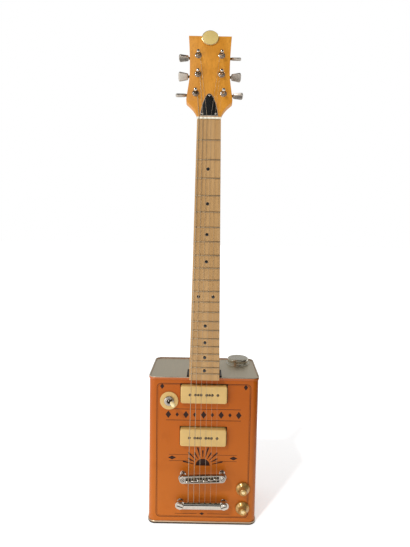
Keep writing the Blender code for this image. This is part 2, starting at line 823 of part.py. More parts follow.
def make_bridge():
    stadium = rounded_rectangle(BRIDGE_WIDTH, BRIDGE_HEIGHT, BRIDGE_HEIGHT / 2 - 0.0005, 5)
    body = plate("body", (stadium,), BRIDGE_BACK, BRIDGE_FRONT)
    soften(body, 0.0007, angle=60)
    pocket = block("pocket", (-0.0314, 0.0314), (-0.0053, 0.0053), (BRIDGE_BACK + 0.002, 0.03))
    cuts = [pocket]
    for side in (-1, 1):
        x = side * BRIDGE_POST_X
        cuts.append(rod("post_hole", 0.0037, (x, 0, 0), (x, 0, 0.03)))
    keep("bridge", combine(body, cuts=cuts), "chrome", bridge_frame)
    for index, offset in enumerate(SADDLE_OFFSETS):
        low = BRIDGE_BACK + 0.002 + GAP
        saddle = block("saddle", (-0.00485, 0.00485), (-0.0016, 0.0016), (low, SADDLE_TOP - 0.0016))
        crest = block("crest", (-0.0047, 0.0047), (-0.0014, 0.0014), (SADDLE_TOP - 0.003, SADDLE_TOP))
        for vert in crest.data.vertices:
            if vert.co.z > SADDLE_TOP - 0.001:
                vert.co.y *= 0.3
        place = Matrix.Translation((string_x(index, SADDLE_SPREAD), offset, 0))
        keep(f"saddle_{index + 1}", combine(saddle, (crest,)), "chrome", bridge_frame, place)
    wheel_top = BRIDGE_BACK - GAP
    profile = (
        (0, BRIDGE_FRONT + 0.0002),
        (0.0033, BRIDGE_FRONT + 0.0002),
        (0.0033, wheel_top),
        (0.0078, wheel_top),
        (0.0078, wheel_top - 0.0025),
        (0.0027, wheel_top - 0.0025),
        (0.0027, -0.020),
        (0, -0.020),
    )
    for side, name in ((-1, "bridge_post_bass"), (1, "bridge_post_treble")):
        place = Matrix.Translation((side * BRIDGE_POST_X, 0, 0))
        keep(name, turned("post", profile), "chrome", bridge_frame, place)


def make_tailpiece():
    stadium = rounded_rectangle(TAILPIECE_WIDTH, TAILPIECE_HEIGHT, TAILPIECE_HEIGHT / 2 - 0.0005, 5)
    bar = soften(plate("bar", (stadium,), TAILPIECE_BACK, TAILPIECE_FRONT), 0.0028, 2, angle=60)
    cuts = []
    ear_front = 0.0132
    for side in (-1, 1):
        xs = sorted((side * 0.0342, side * 0.06))
        cuts.append(block("ear_cut", xs, (-0.02, 0.02), (ear_front, 0.03)))
        cuts.append(rod("stud_hole", 0.0037, (side * STUD_X, 0, 0), (side * STUD_X, 0, 0.03)))
    for index in range(6):
        x = string_x(index, SADDLE_SPREAD)
        start, end = (x, -0.02, STRING_HOLE_OUT), (x, 0.02, STRING_HOLE_OUT)
        cuts.append(rod("string_hole", 0.0015, start, end, 8))
    place = Matrix.Translation((0, TAILPIECE_UP, 0))
    keep("tailpiece", combine(bar, cuts=cuts), "chrome", face_frame, place)
    flange = TAILPIECE_BACK - GAP
    profile = (
        (0, ear_front + 0.0036),
        (0.0058, ear_front + 0.0036),
        (0.0064, ear_front + 0.003),
        (0.0064, ear_front + GAP),
        (0.0034, ear_front + GAP),
        (0.0034, flange),
        (0.0064, flange),
        (0.0064, flange - 0.0018),
        (0.0036, flange - 0.0018),
        (0.0036, -0.022),
        (0, -0.022),
    )
    for side, name in ((-1, "tailpiece_stud_bass"), (1, "tailpiece_stud_treble")):
        place = Matrix.Translation((side * STUD_X, TAILPIECE_UP, 0))
        keep(name, turned("stud", profile), "chrome", face_frame, place)


def make_strings():
    """Each string runs from its post over the nut and its saddle, down into the tailpiece."""
    places = [(-1, row) for row in (0, 1, 2)] + [(1, row) for row in (2, 1, 0)]
    for index, ((side, row), radius) in enumerate(zip(places, STRING_RADII)):
        beside_post = POST_X[row] - POST_WAIST - GAP - radius
        x = string_x(index, SADDLE_SPREAD)
        half_bar = TAILPIECE_HEIGHT / 2
        points = (
            HEAD @ Vector((side * beside_post, POST_UP[row], STRING_RISE)),
            NECK @ Vector((string_x(index, NUT_SPREAD), NUT_HIGH + 0.0001, NUT_SLOT + GAP + radius)),
            BRIDGE @ Vector((x, SADDLE_OFFSETS[index], SADDLE_TOP + GAP + radius)),
            FACE @ Vector((x, TAILPIECE_UP + half_bar, STRING_HOLE_OUT)),
            FACE @ Vector((x, TAILPIECE_UP - half_bar + 0.003, STRING_HOLE_OUT)),
        )
        keep(f"string_{index + 1}", wire("wire", radius, points), "steel", guitar)


# Controls


def make_knobs():
    knob_profile = (
        (0, 0.0150),
        (0.0046, 0.0150),
        (0.0057, 0.0146),
        (0.0061, 0.0138),
        (0.0062, 0.0105),
        (0.0072, 0.0085),
        (0.0092, 0.0066),
        (0.0113, 0.0047),
        (0.0127, 0.0034),
        (0.0130, 0.0026),
        (0.0130, 0.0014),
        (0.0126, 0.0009),
        (0.0085, 0.0009),
        (0.0085, 0.0035),
        (0.0030, 0.0035),
        (0.0030, -0.0060),
        (0, -0.0060),
    )
    inside = -TIN - GAP
    pot_profile = (
        (0, -0.0065),
        (0.0033, -0.0065),
        (0.0033, 0.0030),
        (0.0044, 0.0030),
        (0.0044, 0.0024),
        (0.0065, 0.0024),
        (0.0065, GAP),
        (0.0044, GAP),
        (0.0044, inside),
        (0.0120, inside),
        (0.0120, inside - 0.010),
        (0, inside - 0.010),
    )
    for name, up in (("volume", VOLUME_UP), ("tone", TONE_UP)):
        place = Matrix.Translation((KNOB_X, up, 0))
        keep(f"{name}_knob", turned("knob", knob_profile, 20), "gold", face_frame, place)
        keep(f"{name}_pot", turned("pot", pot_profile, 14), "steel", face_frame, place)


def make_toggle():
    """Three-way selector: the lever turns on its ball inside the switch's bushing."""
    place = Matrix.Translation((TOGGLE_X, TOGGLE_UP, 0))
    ring = plate(
        "ring",
        (
            circle(0.0172, 28),
            circle(0.0061, 16),
        ),
        GAP,
        0.0021,
    )
    keep("toggle_ring", ring, "cream", face_frame, place)
    inside = -TIN - GAP
    body = block("body", (-0.0115, 0.0085), (-0.010, 0.010), (inside - 0.026, inside))
    bushing = rod("bushing", 0.0057, (0, 0, inside - 0.001), (0, 0, 0.0058))
    nut = rod("nut", 0.0093, (0, 0, 0.0024), (0, 0, 0.0050), 20)
    bore = rod("bore", 0.0043, (0, 0, -0.005), (0, 0, 0.01))
    switch = combine(body, (bushing, nut), (bore,))
    keep("toggle_switch", switch, "nickel", face_frame, place)
    profile = (
        (0, 0.0270),
        (0.0019, 0.0268),
        (0.0031, 0.0258),
        (0.0038, 0.0240),
        (0.0039, 0.0215),
        (0.0032, 0.0124),
        (0.0026, 0.0112),
        (0.0015, 0.0108),
        (0.0015, 0.0021),
        (0.0026, 0.0008),
        (0.0027, -0.0004),
        (0.0022, -0.0016),
        (0.0013, -0.0024),
        (0.0013, -0.0042),
        (0, -0.0042),
    )
    pivot = place @ Matrix.Translation((0, 0, TOGGLE_PIVOT))
    lean = pivot @ Matrix.Rotation(TOGGLE_LEAN, 4, "Y")
    keep("toggle_lever", turned("lever", profile, 12), "cream", face_frame, lean)


def make_jack():
    """The plug socket on the can's right wall, open outwards."""
    outside = CAN_WIDTH / 2
    inside = outside - TIN - GAP
    tip = outside + SEAM_OUT
    barrel = rod("barrel", 0.005, (outside - 0.028, 0, 0), (tip, 0, 0))
    frame = rod("frame", 0.0095, (outside - 0.022, 0, 0), (inside, 0, 0))
    nut = rod("nut", 0.0085, (outside + GAP, 0, 0), (tip - 0.0002, 0, 0))
    bore = rod("bore", JACK_BORE, (outside - 0.026, 0, 0), (tip + 0.01, 0, 0))
    jack = combine(barrel, (frame, nut), (bore,))
    keep("output_jack", jack, "nickel", guitar, Matrix.Translation((0, JACK_Y, JACK_Z)))


clear_scene()
parts = new_collection("oil_can_guitar")
cutters = new_collection("cutters")

guitar = bpy.data.objects.new("guitar_frame", None)
guitar.location = (0, FRONT_Y, 0)
parts.objects.link(guitar)


def child_frame(name, matrix):
    frame = bpy.data.objects.new(name, None)
    frame.empty_display_size = 0.02
    frame.parent = guitar
    frame.matrix_basis = matrix
    parts.objects.link(frame)
    return frame


face_frame = child_frame("face_frame", FACE)
neck_frame = child_frame("neck_frame", NECK)
head_frame = child_frame("head_frame", HEAD)
bridge_frame = child_frame("bridge_frame", BRIDGE)

make_can_wall()
make_cap(make_can_ends())
make_back()
make_block()
make_neck()
make_fretboard()
make_nut()
make_head_fittings()
make_tuners()
make_pickups()
make_bridge()
make_tailpiece()
make_strings()
make_knobs()
make_toggle()
make_jack()
for tool in list(cutters.objects):
    bpy.data.objects.remove(tool)
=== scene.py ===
# %% [markdown]
# # An oil can guitar
#
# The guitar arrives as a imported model: a tin can, a maple neck and the metal work, each piece in
# its real place. This lesson draws each visible piece again with its true roundings, gives every
# surface its finish, adds the pieces that are too fine for the working model, and lights the
# guitar as in a plain studio.

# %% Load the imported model
import json
import math

import bmesh
import bpy
from mathutils import Matrix, Vector


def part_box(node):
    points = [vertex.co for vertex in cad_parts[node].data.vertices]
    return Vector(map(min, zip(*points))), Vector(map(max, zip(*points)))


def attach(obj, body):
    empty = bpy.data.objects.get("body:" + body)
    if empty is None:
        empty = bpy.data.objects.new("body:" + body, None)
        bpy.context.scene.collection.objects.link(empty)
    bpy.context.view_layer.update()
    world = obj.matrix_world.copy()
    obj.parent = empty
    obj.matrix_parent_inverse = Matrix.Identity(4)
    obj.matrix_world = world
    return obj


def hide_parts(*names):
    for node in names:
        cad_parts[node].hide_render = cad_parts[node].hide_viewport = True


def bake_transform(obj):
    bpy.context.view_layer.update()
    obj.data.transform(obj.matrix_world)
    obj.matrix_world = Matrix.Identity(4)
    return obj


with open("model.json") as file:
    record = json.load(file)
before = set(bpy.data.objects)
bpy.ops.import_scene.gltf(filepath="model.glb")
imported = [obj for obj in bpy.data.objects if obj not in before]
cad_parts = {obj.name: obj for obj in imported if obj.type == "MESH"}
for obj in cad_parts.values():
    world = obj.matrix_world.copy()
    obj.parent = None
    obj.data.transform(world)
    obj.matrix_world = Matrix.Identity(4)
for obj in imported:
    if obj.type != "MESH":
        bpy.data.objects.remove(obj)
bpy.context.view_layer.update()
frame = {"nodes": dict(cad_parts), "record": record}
nodes = frame["nodes"]
print("pieces in the packed model:", len(nodes))

# %% [markdown]
# ## The frames that the guitar was built in
#
# Most pieces sit on one of three planes: the can's front wall, the fretboard and the tilted head.
# A frame for each plane lets a piece be drawn flat, with x to the right, y up and z out of the
# front, and then be laid on its plane. The alternative, working out every corner in the room's
# own axes, is slower to read and easy to get wrong.

# %% Frames
GAP = 0.0003
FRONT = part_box("can_body")[0].y
NUT_UP = 0.7545
NUT_OUT = 0.0031
NECK_LEAN = math.radians(1.58)
HEAD_TILT = math.radians(15)
HEAD_START = 0.0042
HEAD_DROP = 0.0015
BRIDGE_UP = 0.1015
BRIDGE_SLANT = math.radians(2.2)

at = Matrix.Translation
GUITAR = at((0, FRONT, 0))
FACE = GUITAR @ Matrix.Rotation(math.pi / 2, 4, "X")
NECK = FACE @ at((0, NUT_UP, NUT_OUT)) @ Matrix.Rotation(-NECK_LEAN, 4, "X")
HEAD = NECK @ at((0, HEAD_START, -HEAD_DROP)) @ Matrix.Rotation(-HEAD_TILT, 4, "X")
BRIDGE = FACE @ at((0, BRIDGE_UP, 0)) @ Matrix.Rotation(BRIDGE_SLANT, 4, "Z")
SIDEWAYS = Matrix(((0, 0, 1, 0), (1, 0, 0, 0), (0, 1, 0, 0), (0, 0, 0, 1)))
BACKWARDS = Matrix.Rotation(-math.pi / 2, 4, "X")
print("front wall at y =", round(FRONT, 4))

# %% [markdown]
# ## A short way to write a finish
#
# A finish is a Principled shader with a few nodes in front of it. The helper below adds a node and
# plugs its inputs in one call, so that each finish reads as a list of its layers. Every texture
# reads the object's own coordinates, in metres, so a grain keeps its real size on any piece.

# %% Finish helper


class Finish:
    """One material: its shader, and a quick way to add nodes to it."""

    def __init__(self, name, colour, roughness, metallic=0.0, **sockets):
        self.material = bpy.data.materials.new(name)
        self.material.use_nodes = True
        self.tree = self.material.node_tree
        self.shader = self.tree.nodes["Principled BSDF"]
        self.shader.inputs["Base Color"].default_value = (*colour, 1)
        self.shader.inputs["Roughness"].default_value = roughness
        self.shader.inputs["Metallic"].default_value = metallic
        for socket, value in sockets.items():
            self.shader.inputs[socket.replace("_", " ")].default_value = value

    def node(self, kind, inputs=(), **settings):
        made = self.tree.nodes.new(f"ShaderNode{kind}")
        for setting, value in settings.items():
            setattr(made, setting, value)
        for socket, value in dict(inputs).items():
            if isinstance(value, bpy.types.NodeSocket):
                self.tree.links.new(value, made.inputs[socket])
            else:
                made.inputs[socket].default_value = value
        return made

    def place(self, scale=(1, 1, 1), turn=(0, 0, 0)):
        where = self.node("TexCoord").outputs["Object"]
        wanted = {"Vector": where, "Scale": scale, "Rotation": turn}
        return self.node("Mapping", wanted).outputs["Vector"]

    def noise(self, scale, detail=4.0, stretch=(1, 1, 1), turn=(0, 0, 0)):
        wanted = {"Vector": self.place(stretch, turn), "Scale": scale, "Detail": detail}
        return self.node("TexNoise", wanted).outputs["Fac"]

    def height(self):
        where = self.node("TexCoord").outputs["Object"]
        return self.node("SeparateXYZ", {"Vector": where}).outputs["Z"]

    def ramp(self, value, stops):
        ramp = self.node("ValToRGB", {"Fac": value})
        elements = ramp.color_ramp.elements
        for element, (share, colour) in zip(elements, (stops[0], stops[-1])):
            element.position = share
            element.color = (*colour, 1)
        for share, colour in stops[1:-1]:
            elements.new(share).color = (*colour, 1)
        return ramp.outputs["Color"]

    def grey(self, value, low, high, between=(0.3, 0.7)):
        wanted = {"Value": value, "From Min": between[0], "From Max": between[1]}
        return self.node("MapRange", {**wanted, "To Min": low, "To Max": high}).outputs["Result"]

    def blend(self, share, a, b, mode="MIX"):
        mix = self.node("Mix", {"Factor": share}, data_type="RGBA", blend_type=mode)
        for socket, value in ((6, a), (7, b)):
            if isinstance(value, bpy.types.NodeSocket):
                self.tree.links.new(value, mix.inputs[socket])
            else:
                mix.inputs[socket].default_value = (*value, 1)
        return mix.outputs[2]

    def plug(self, socket, value):
        self.tree.links.new(value, self.shader.inputs[socket])

    def bump(self, height, strength, distance=0.0003):
        bump = self.node("Bump", {"Height": height, "Strength": strength, "Distance": distance})
        self.plug("Normal", bump.outputs["Normal"])


# %% [markdown]
# ## The finishes
#
# Printed tin is glossy ink over a sheet that is never quite flat, so it gets a broad shallow
# wave. Bare tin and cast metal are streaked. Maple shows long grain lines and short dark flecks
# under lacquer. Plated metal is smooth, with faint smears in its roughness. A photograph of each
# surface could be wrapped round the pieces instead, but noise keeps its scale on any shape.

# %% Tin and metal finishes
ORANGE = (0.44, 0.097, 0.004)
# The lower colour is lighter and pinker than the top: painted light, the foot of the wall coloured as if
# lit more than its top.
ORANGE_LIT_LOW = (0.50, 0.132, 0.012)
INK_BROWN = (0.028, 0.009, 0.004)


def printed_tin(name, low_colour, high_colour):
    made = Finish(name, high_colour, 0.34, Coat_Weight=0.05, Coat_Roughness=0.1)
    made.shader.inputs["Specular IOR Level"].default_value = 0.17
    # Painted light: the colour runs from the lighter foot colour to the darker top colour with height.
    painted_light_fade = made.grey(made.height(), 0, 1, (0.05, 0.25))
    colour = made.blend(painted_light_fade, low_colour, high_colour)
    scuffs = made.grey(made.noise(22, 6), 0, 0.35, (0.56, 0.75))
    duller = tuple(part * 0.8 for part in high_colour)
    made.plug("Base Color", made.blend(scuffs, colour, duller))
    made.plug("Roughness", made.grey(made.noise(60), 0.28, 0.42))
    made.bump(made.noise(26, 2), 0.10, 0.0007)
    return made.material


def bare_tin(name, colour, roughness, streak=(12, 0.4, 12)):
    made = Finish(name, colour, roughness, 0.9)
    streaks = made.noise(60, 6, streak)
    made.plug("Roughness", made.grey(streaks, roughness - 0.08, roughness + 0.1))
    darker = tuple(part * 0.84 for part in colour)
    made.plug("Base Color", made.ramp(streaks, ((0.3, darker), (0.7, colour))))
    made.bump(made.noise(300, 4, streak), 0.04, 0.0001)
    return made.material


def seam_tin():
    """The top seam: printed like the wall, and rubbed bare along its crest."""
    made = Finish("top_seam_tin", ORANGE, 0.34)
    bare = made.grey(made.height(), 0, 1, (0.28655, 0.28700))
    streaks = made.ramp(made.noise(300, 4), ((0.3, (0.50, 0.44, 0.34)), (0.7, (0.70, 0.62, 0.48))))
    made.plug("Base Color", made.blend(bare, ORANGE, streaks))
    made.plug("Metallic", bare)
    made.plug("Roughness", made.grey(made.noise(120), 0.28, 0.42))
    made.bump(made.noise(500), 0.05, 0.0001)
    return made.material


def base_tin():
    made = Finish("base_seam_tin", (0.3, 0.27, 0.22), 0.3, 0.9)
    # Painted shade: the seam's lowest millimetres are coloured near black, standing in for the shadow where
    # the can meets the floor; above them the seam is plain tin.
    edge = made.grey(made.height(), 0, 1, (0.0028, 0.0046))
    painted_shade = made.ramp(made.noise(90, 5), ((0.35, (0.030, 0.022, 0.016)), (0.7, (0.085, 0.06, 0.04))))
    made.plug("Base Color", made.blend(edge, painted_shade, (0.60, 0.46, 0.31)))
    made.plug("Roughness", made.grey(made.noise(200), 0.28, 0.5))
    made.bump(made.noise(500), 0.05, 0.0001)
    return made.material


def metal(name, colour, roughness, wear=0.06):
    made = Finish(name, colour, roughness, 1.0)
    smears = made.noise(160, 4)
    made.plug("Roughness", made.grey(smears, max(roughness - wear, 0.03), roughness + wear))
    duller = tuple(part * 0.86 for part in colour)
    made.plug("Base Color", made.ramp(smears, ((0.3, duller), (0.6, colour))))
    made.bump(made.noise(700, 3), 0.02, 0.0001)
    return made.material


def wound_wire(name, colour):
    made = Finish(name, colour, 0.35, 1.0)
    wraps = {"Vector": made.place(), "Scale": 2600, "Distortion": 0.0}
    turns = made.node("TexWave", wraps, bands_direction="Z").outputs["Fac"]
    # Painted shade: half of each turn's band is darkened, for the shade in the groove between the wraps.
    darker = tuple(part * 0.75 for part in colour)
    made.plug("Base Color", made.ramp(turns, ((0.1, darker), (0.6, colour))))
    made.plug("Roughness", made.grey(made.noise(300), 0.28, 0.45))
    made.bump(turns, 0.1, 0.0001)
    return made.material


# %% Wood and plastic finishes


def wood(name, pale, dark, coat, turn=(0, 0, 0)):
    made = Finish(name, pale, 0.42, Coat_Weight=coat, Coat_Roughness=0.12)
    made.shader.inputs["Specular IOR Level"].default_value = 0.3
    grain = made.noise(95, 6, (1, 1, 0.045), turn)
    lines = made.noise(420, 3, (1, 1, 0.012), turn)
    flame = made.noise(30, 2, (0.4, 1, 1.2), turn)
    pores = made.noise(1500, 2, (1, 1, 0.02), turn)
    between = tuple((a + b) / 2 for a, b in zip(pale, dark))
    shade = made.ramp(grain, ((0.34, dark), (0.5, between), (0.64, pale)))
    deeper = tuple(part * 0.80 for part in dark)
    colour = made.blend(made.grey(lines, 0.45, 0, (0.36, 0.5)), shade, deeper)
    colour = made.blend(made.grey(flame, 0, 0.22, (0.4, 0.65)), colour, tuple(part * 0.9 for part in pale))
    flecks = made.blend(made.grey(pores, 0.35, 0, (0.30, 0.42)), colour, tuple(part * 0.6 for part in dark))
    made.plug("Base Color", flecks)
    made.plug("Roughness", made.grey(grain, 0.34, 0.5))
    made.bump(pores, 0.10, 0.0001)
    return made.material


def plastic(name, colour, roughness, coat=0.25):
    made = Finish(name, colour, roughness, Coat_Weight=coat, Coat_Roughness=0.15)
    cloud = made.noise(45, 3)
    darker = tuple(part * 0.90 for part in colour)
    made.plug("Base Color", made.ramp(cloud, ((0.3, darker), (0.7, colour))))
    made.plug("Roughness", made.grey(made.noise(400), roughness - 0.06, roughness + 0.08))
    made.bump(made.noise(1200, 2), 0.03, 0.0001)
    return made.material


def gilded(name, colour):
    made = Finish(name, colour, 0.3, 0.55, Coat_Weight=0.5, Coat_Roughness=0.1)
    rings = made.noise(240, 4)
    darker = tuple(part * 0.72 for part in colour)
    made.plug("Base Color", made.ramp(rings, ((0.35, darker), (0.6, colour))))
    made.plug("Roughness", made.grey(rings, 0.25, 0.42))
    made.bump(made.noise(900, 3), 0.05, 0.0001)
    return made.material


finishes = {
    "orange_tin": printed_tin("printed_tin", ORANGE_LIT_LOW, ORANGE),
    "bare_tin": bare_tin("bare_tin", (0.67, 0.595, 0.450), 0.40),
    "pewter": bare_tin("pewter", (0.66, 0.615, 0.500), 0.28, (1, 1, 1)),
    # The block inside the can is coloured near black: painted shade for the dark inside of the can seen
    # through the gaps round the neck.
    "block_wood": wood("shade_black_block", (0.020, 0.015, 0.011), (0.012, 0.009, 0.007), 0.0),
    "maple": wood("lacquered_maple", (0.73, 0.305, 0.026), (0.60, 0.230, 0.014), 0.1),
    "bone": plastic("bone", (0.95, 0.90, 0.74), 0.45, 0.1),
    "black": plastic("black_plastic", (0.010, 0.010, 0.010), 0.22),
    "cream": plastic("cream_plastic", (0.67, 0.435, 0.140), 0.36, 0.12),
    "chrome": metal("chrome", (0.72, 0.68, 0.61), 0.12),
    "nickel": metal("nickel", (0.62, 0.57, 0.50), 0.24),
    "gold": gilded("gold_backed", (0.52, 0.305, 0.082)),
    "steel": metal("steel", (0.44, 0.37, 0.28), 0.35),
}
extra_finishes = {
    "board": (wood("fretboard_maple", (0.56, 0.335, 0.139), (0.475, 0.268, 0.100), 0.1), "maple"),
    "fret_wire": (metal("fret_wire", (0.46, 0.33, 0.19), 0.45), "nickel"),
    "badge": (plastic("badge_enamel", (0.72, 0.54, 0.19), 0.3, 0.4), "cream"),
    "badge_rim": (metal("badge_brass", (0.86, 0.70, 0.38), 0.25), "gold"),
    "base_tin": (base_tin(), "bare_tin"),
    "brown_ink": (printed_tin("brown_ink", INK_BROWN, INK_BROWN), "orange_tin"),
    "wound": (wound_wire("wound_string", (0.46, 0.36, 0.25)), "steel"),
    "brass": (metal("brass", (0.62, 0.42, 0.16), 0.28), "steel"),
    "seam_tin": (seam_tin(), "bare_tin"),
    "switch_tip": (plastic("switch_tip", (0.92, 0.78, 0.42), 0.3, 0.3), "cream"),
    # Darkened nickel for the tuner nuts and the switch: painted reflection, standing in for the dark
    # reflections these plated parts show.
    "nickel_dark_reflection": (metal("nickel_dark_reflection", (0.44, 0.40, 0.35), 0.16), "nickel"),
    "aged_nickel": (metal("aged_nickel", (0.50, 0.45, 0.39), 0.38), "nickel"),
    "bar_metal": (metal("bar_metal", (0.57, 0.54, 0.475), 0.12), "chrome"),
    "bridge_metal": (metal("bridge_metal", (0.43, 0.39, 0.34), 0.2), "chrome"),
    # Dark steel: the own colour of the pole screws and worm shafts, and painted shade on the post windings.
    "dark_steel_and_shade": (metal("dark_steel_and_shade", (0.13, 0.095, 0.06), 0.35), "steel"),
    "pale_edge": (plastic("pale_edge", (0.72, 0.68, 0.58), 0.4), "black"),
}
slots = {part["node"]: part["material_slot"] for part in frame["record"]["subparts"]}
for name, node in nodes.items():
    node.data.materials.clear()
    node.data.materials.append(finishes[slots[name]])
print("finishes made:", len(finishes) + len(extra_finishes))

# %% [markdown]
# ## Outlines and solids
#
# Everything below is made in four ways. A slab is a flat outline given thickness and rounded
# edges, a turned piece is a profile spun round its axis, a tube follows a line, and a Boolean
# cuts one of them with another. Each returns loose mesh data, and piece() puts it on the guitar.

# %% Outlines


def rounded_rectangle(width, height, radius, steps=8):
    points = []
    for quarter, (sx, sy) in enumerate(((1, 1), (-1, 1), (-1, -1), (1, -1))):
        cx = sx * (width / 2 - radius)
        cy = sy * (height / 2 - radius)
        for step in range(steps + 1):
            angle = math.pi / 2 * (quarter + step / steps)
            points.append((cx + radius * math.cos(angle), cy + radius * math.sin(angle)))
    return points


def circle(radius, steps, centre=(0, 0)):
    turns = [2 * math.pi * k / steps for k in range(steps)]
    return [(centre[0] + radius * math.cos(a), centre[1] + radius * math.sin(a)) for a in turns]


def bezier(start, handle_a, handle_b, end, steps):
    """Points of a cubic curve, without its last one."""
    found = []
    for step in range(steps):
        t = step / steps
        weights = ((1 - t) ** 3, 3 * t * (1 - t) ** 2, 3 * t * t * (1 - t), t**3)
        corners = (start, handle_a, handle_b, end)
        found.append(tuple(sum(w * p[axis] for w, p in zip(weights, corners)) for axis in (0, 1)))
    return found


def both_sides(right):
    """A closed outline from its right half, listed from the bottom up."""
    return right + [(-x, y) for x, y in reversed(right) if x > 0.00001]


def fillet(points, radius, steps=4, closed=True):
    """The same corners, each rounded off by a short arc."""
    corners = [Vector(point) for point in points]
    found = []
    count = len(corners)
    for k, corner in enumerate(corners):
        if not closed and k in (0, count - 1):
            found.append(tuple(corner))
            continue
        before = corners[k - 1] - corner
        after = corners[(k + 1) % count] - corner
        start = corner + before.normalized() * min(radius, before.length * 0.45)
        end = corner + after.normalized() * min(radius, after.length * 0.45)
        for step in range(steps + 1):
            t = step / steps
            found.append(tuple(start * (1 - t) ** 2 + corner * 2 * t * (1 - t) + end * t * t))
    return found


def inset(outline, distance):
    """The outline moved inwards; it runs anticlockwise."""
    found = []
    for k, (x, y) in enumerate(outline):
        before = (Vector((x, y)) - Vector(outline[k - 1])).normalized()
        after = (Vector(outline[(k + 1) % len(outline)]) - Vector((x, y))).normalized()
        normals = Vector((-before.y, before.x)) + Vector((-after.y, after.x))
        share = distance / max(1 + before.dot(after), 0.35)
        found.append((x + normals.x * share, y + normals.y * share))
    return found


# %% Solids


def lofted(rings, closed=False):
    """A solid through rings of points, from its back ring to its front ring."""
    bm = bmesh.new()
    made = [[bm.verts.new(point) for point in ring] for ring in rings]
    pairs = list(zip(made, made[1:]))
    if closed:
        pairs.append((made[-1], made[0]))
    else:
        bm.faces.new(reversed(made[0]))
        bm.faces.new(made[-1])
    for lower, upper in pairs:
        for k in range(len(lower)):
            after = (k + 1) % len(lower)
            bm.faces.new((lower[k], lower[after], upper[after], upper[k]))
    return bm


def slab(outline, low, high, front=0.0, back=0.0, steps=4):
    """A flat outline with thickness, and with its front and back edges rounded."""
    quarter = [math.pi / 2 * k / steps for k in range(steps + 1)]
    profile = [(0, low), (0, high)]
    if back:
        profile[0:1] = [(back - back * math.sin(a), low + back - back * math.cos(a)) for a in quarter]
    if front:
        profile[-1:] = [(front - front * math.cos(a), high - front + front * math.sin(a)) for a in quarter]
    return lofted([[(x, y, z) for x, y in inset(outline, d)] for d, z in profile])


def turned(profile, steps=48, closed=False, ribs=None):
    """A profile of (radius, height) points turned about Z; ribs is (count, depth, low, high)."""
    bm = bmesh.new()
    rows = []
    for radius, height in profile:
        if radius == 0:
            rows.append([bm.verts.new((0, 0, height))])
            continue
        row = []
        for k in range(steps):
            angle = 2 * math.pi * k / steps
            out = radius
            if ribs and ribs[2] <= height <= ribs[3]:
                out += ribs[1] * math.cos(ribs[0] * angle)
            row.append(bm.verts.new((out * math.cos(angle), out * math.sin(angle), height)))
        rows.append(row)
    pairs = list(zip(rows, rows[1:]))
    if closed:
        pairs.append((rows[-1], rows[0]))
    for a, b in pairs:
        for k in range(steps):
            after = k + 1
            quad = (a[k % len(a)], a[after % len(a)], b[after % len(b)], b[k % len(b)])
            bm.faces.new(tuple(dict.fromkeys(quad)))
    return bm


def tube(points, radius, sides=8):
    """A round wire along the points."""
    points = [Vector(point) for point in points]
    across = (points[1] - points[0]).orthogonal().normalized()
    rings = []
    for k, point in enumerate(points):
        along = (points[min(k + 1, len(points) - 1)] - points[max(k - 1, 0)]).normalized()
        across = (across - along * across.dot(along)).normalized()
        other = along.cross(across)
        ring = []
        for side in range(sides):
            angle = 2 * math.pi * side / sides
            ring.append(point + (across * math.cos(angle) + other * math.sin(angle)) * radius)
        rings.append(ring)
    return lofted(rings)


def box(xs, ys, zs):
    bm = bmesh.new()
    size = [high - low for low, high in (xs, ys, zs)]
    middle = [(low + high) / 2 for low, high in (xs, ys, zs)]
    bmesh.ops.create_cube(bm, size=1, matrix=at(middle) @ Matrix.Diagonal((*size, 1)))
    return bm


def cylinder(radius, start, end, sides=32):
    """A plain cutter between two points."""
    start, end = Vector(start), Vector(end)
    turn = (end - start).to_track_quat("Z", "Y").to_matrix().to_4x4()
    return placed(slab(circle(radius, sides), 0, (end - start).length), at(start) @ turn)


# %% Putting shapes together


def placed(bm, matrix):
    bmesh.ops.transform(bm, matrix=matrix, verts=bm.verts)
    bmesh.ops.recalc_face_normals(bm, faces=bm.faces)
    return bm


def stamp(bm, places):
    """A copy of a shape at each place, as one mesh."""
    mesh = bpy.data.meshes.new("stamp")
    bm.to_mesh(mesh)
    bm.free()
    made = bmesh.new()
    for place in places:
        copy = mesh.copy()
        copy.transform(place)
        made.from_mesh(copy)
        bpy.data.meshes.remove(copy)
    bpy.data.meshes.remove(mesh)
    return made


def joined(*shapes):
    made = bmesh.new()
    for shape in shapes:
        mesh = bpy.data.meshes.new("shape")
        shape.to_mesh(mesh)
        shape.free()
        made.from_mesh(mesh)
        bpy.data.meshes.remove(mesh)
    return made


def helper_object(bm):
    bmesh.ops.recalc_face_normals(bm, faces=bm.faces)
    mesh = bpy.data.meshes.new("helper")
    bm.to_mesh(mesh)
    bm.free()
    obj = bpy.data.objects.new("helper", mesh)
    bpy.context.scene.collection.objects.link(obj)
    return obj


def boolean(bm, tools, operation="DIFFERENCE"):
    """One shape with others cut from it, or added to it."""
    target = helper_object(bm)
    helpers = [helper_object(tool) for tool in tools]
    for helper in helpers:
        modifier = target.modifiers.new("boolean", "BOOLEAN")
        modifier.operation = operation
        modifier.solver = "EXACT"
        modifier.object = helper
    graph = bpy.context.evaluated_depsgraph_get()
    graph.update()
    made = bmesh.new()
    made.from_object(target, graph)
    for obj in (target, *helpers):
        mesh = obj.data
        bpy.data.objects.remove(obj)
        bpy.data.meshes.remove(mesh)
    return made


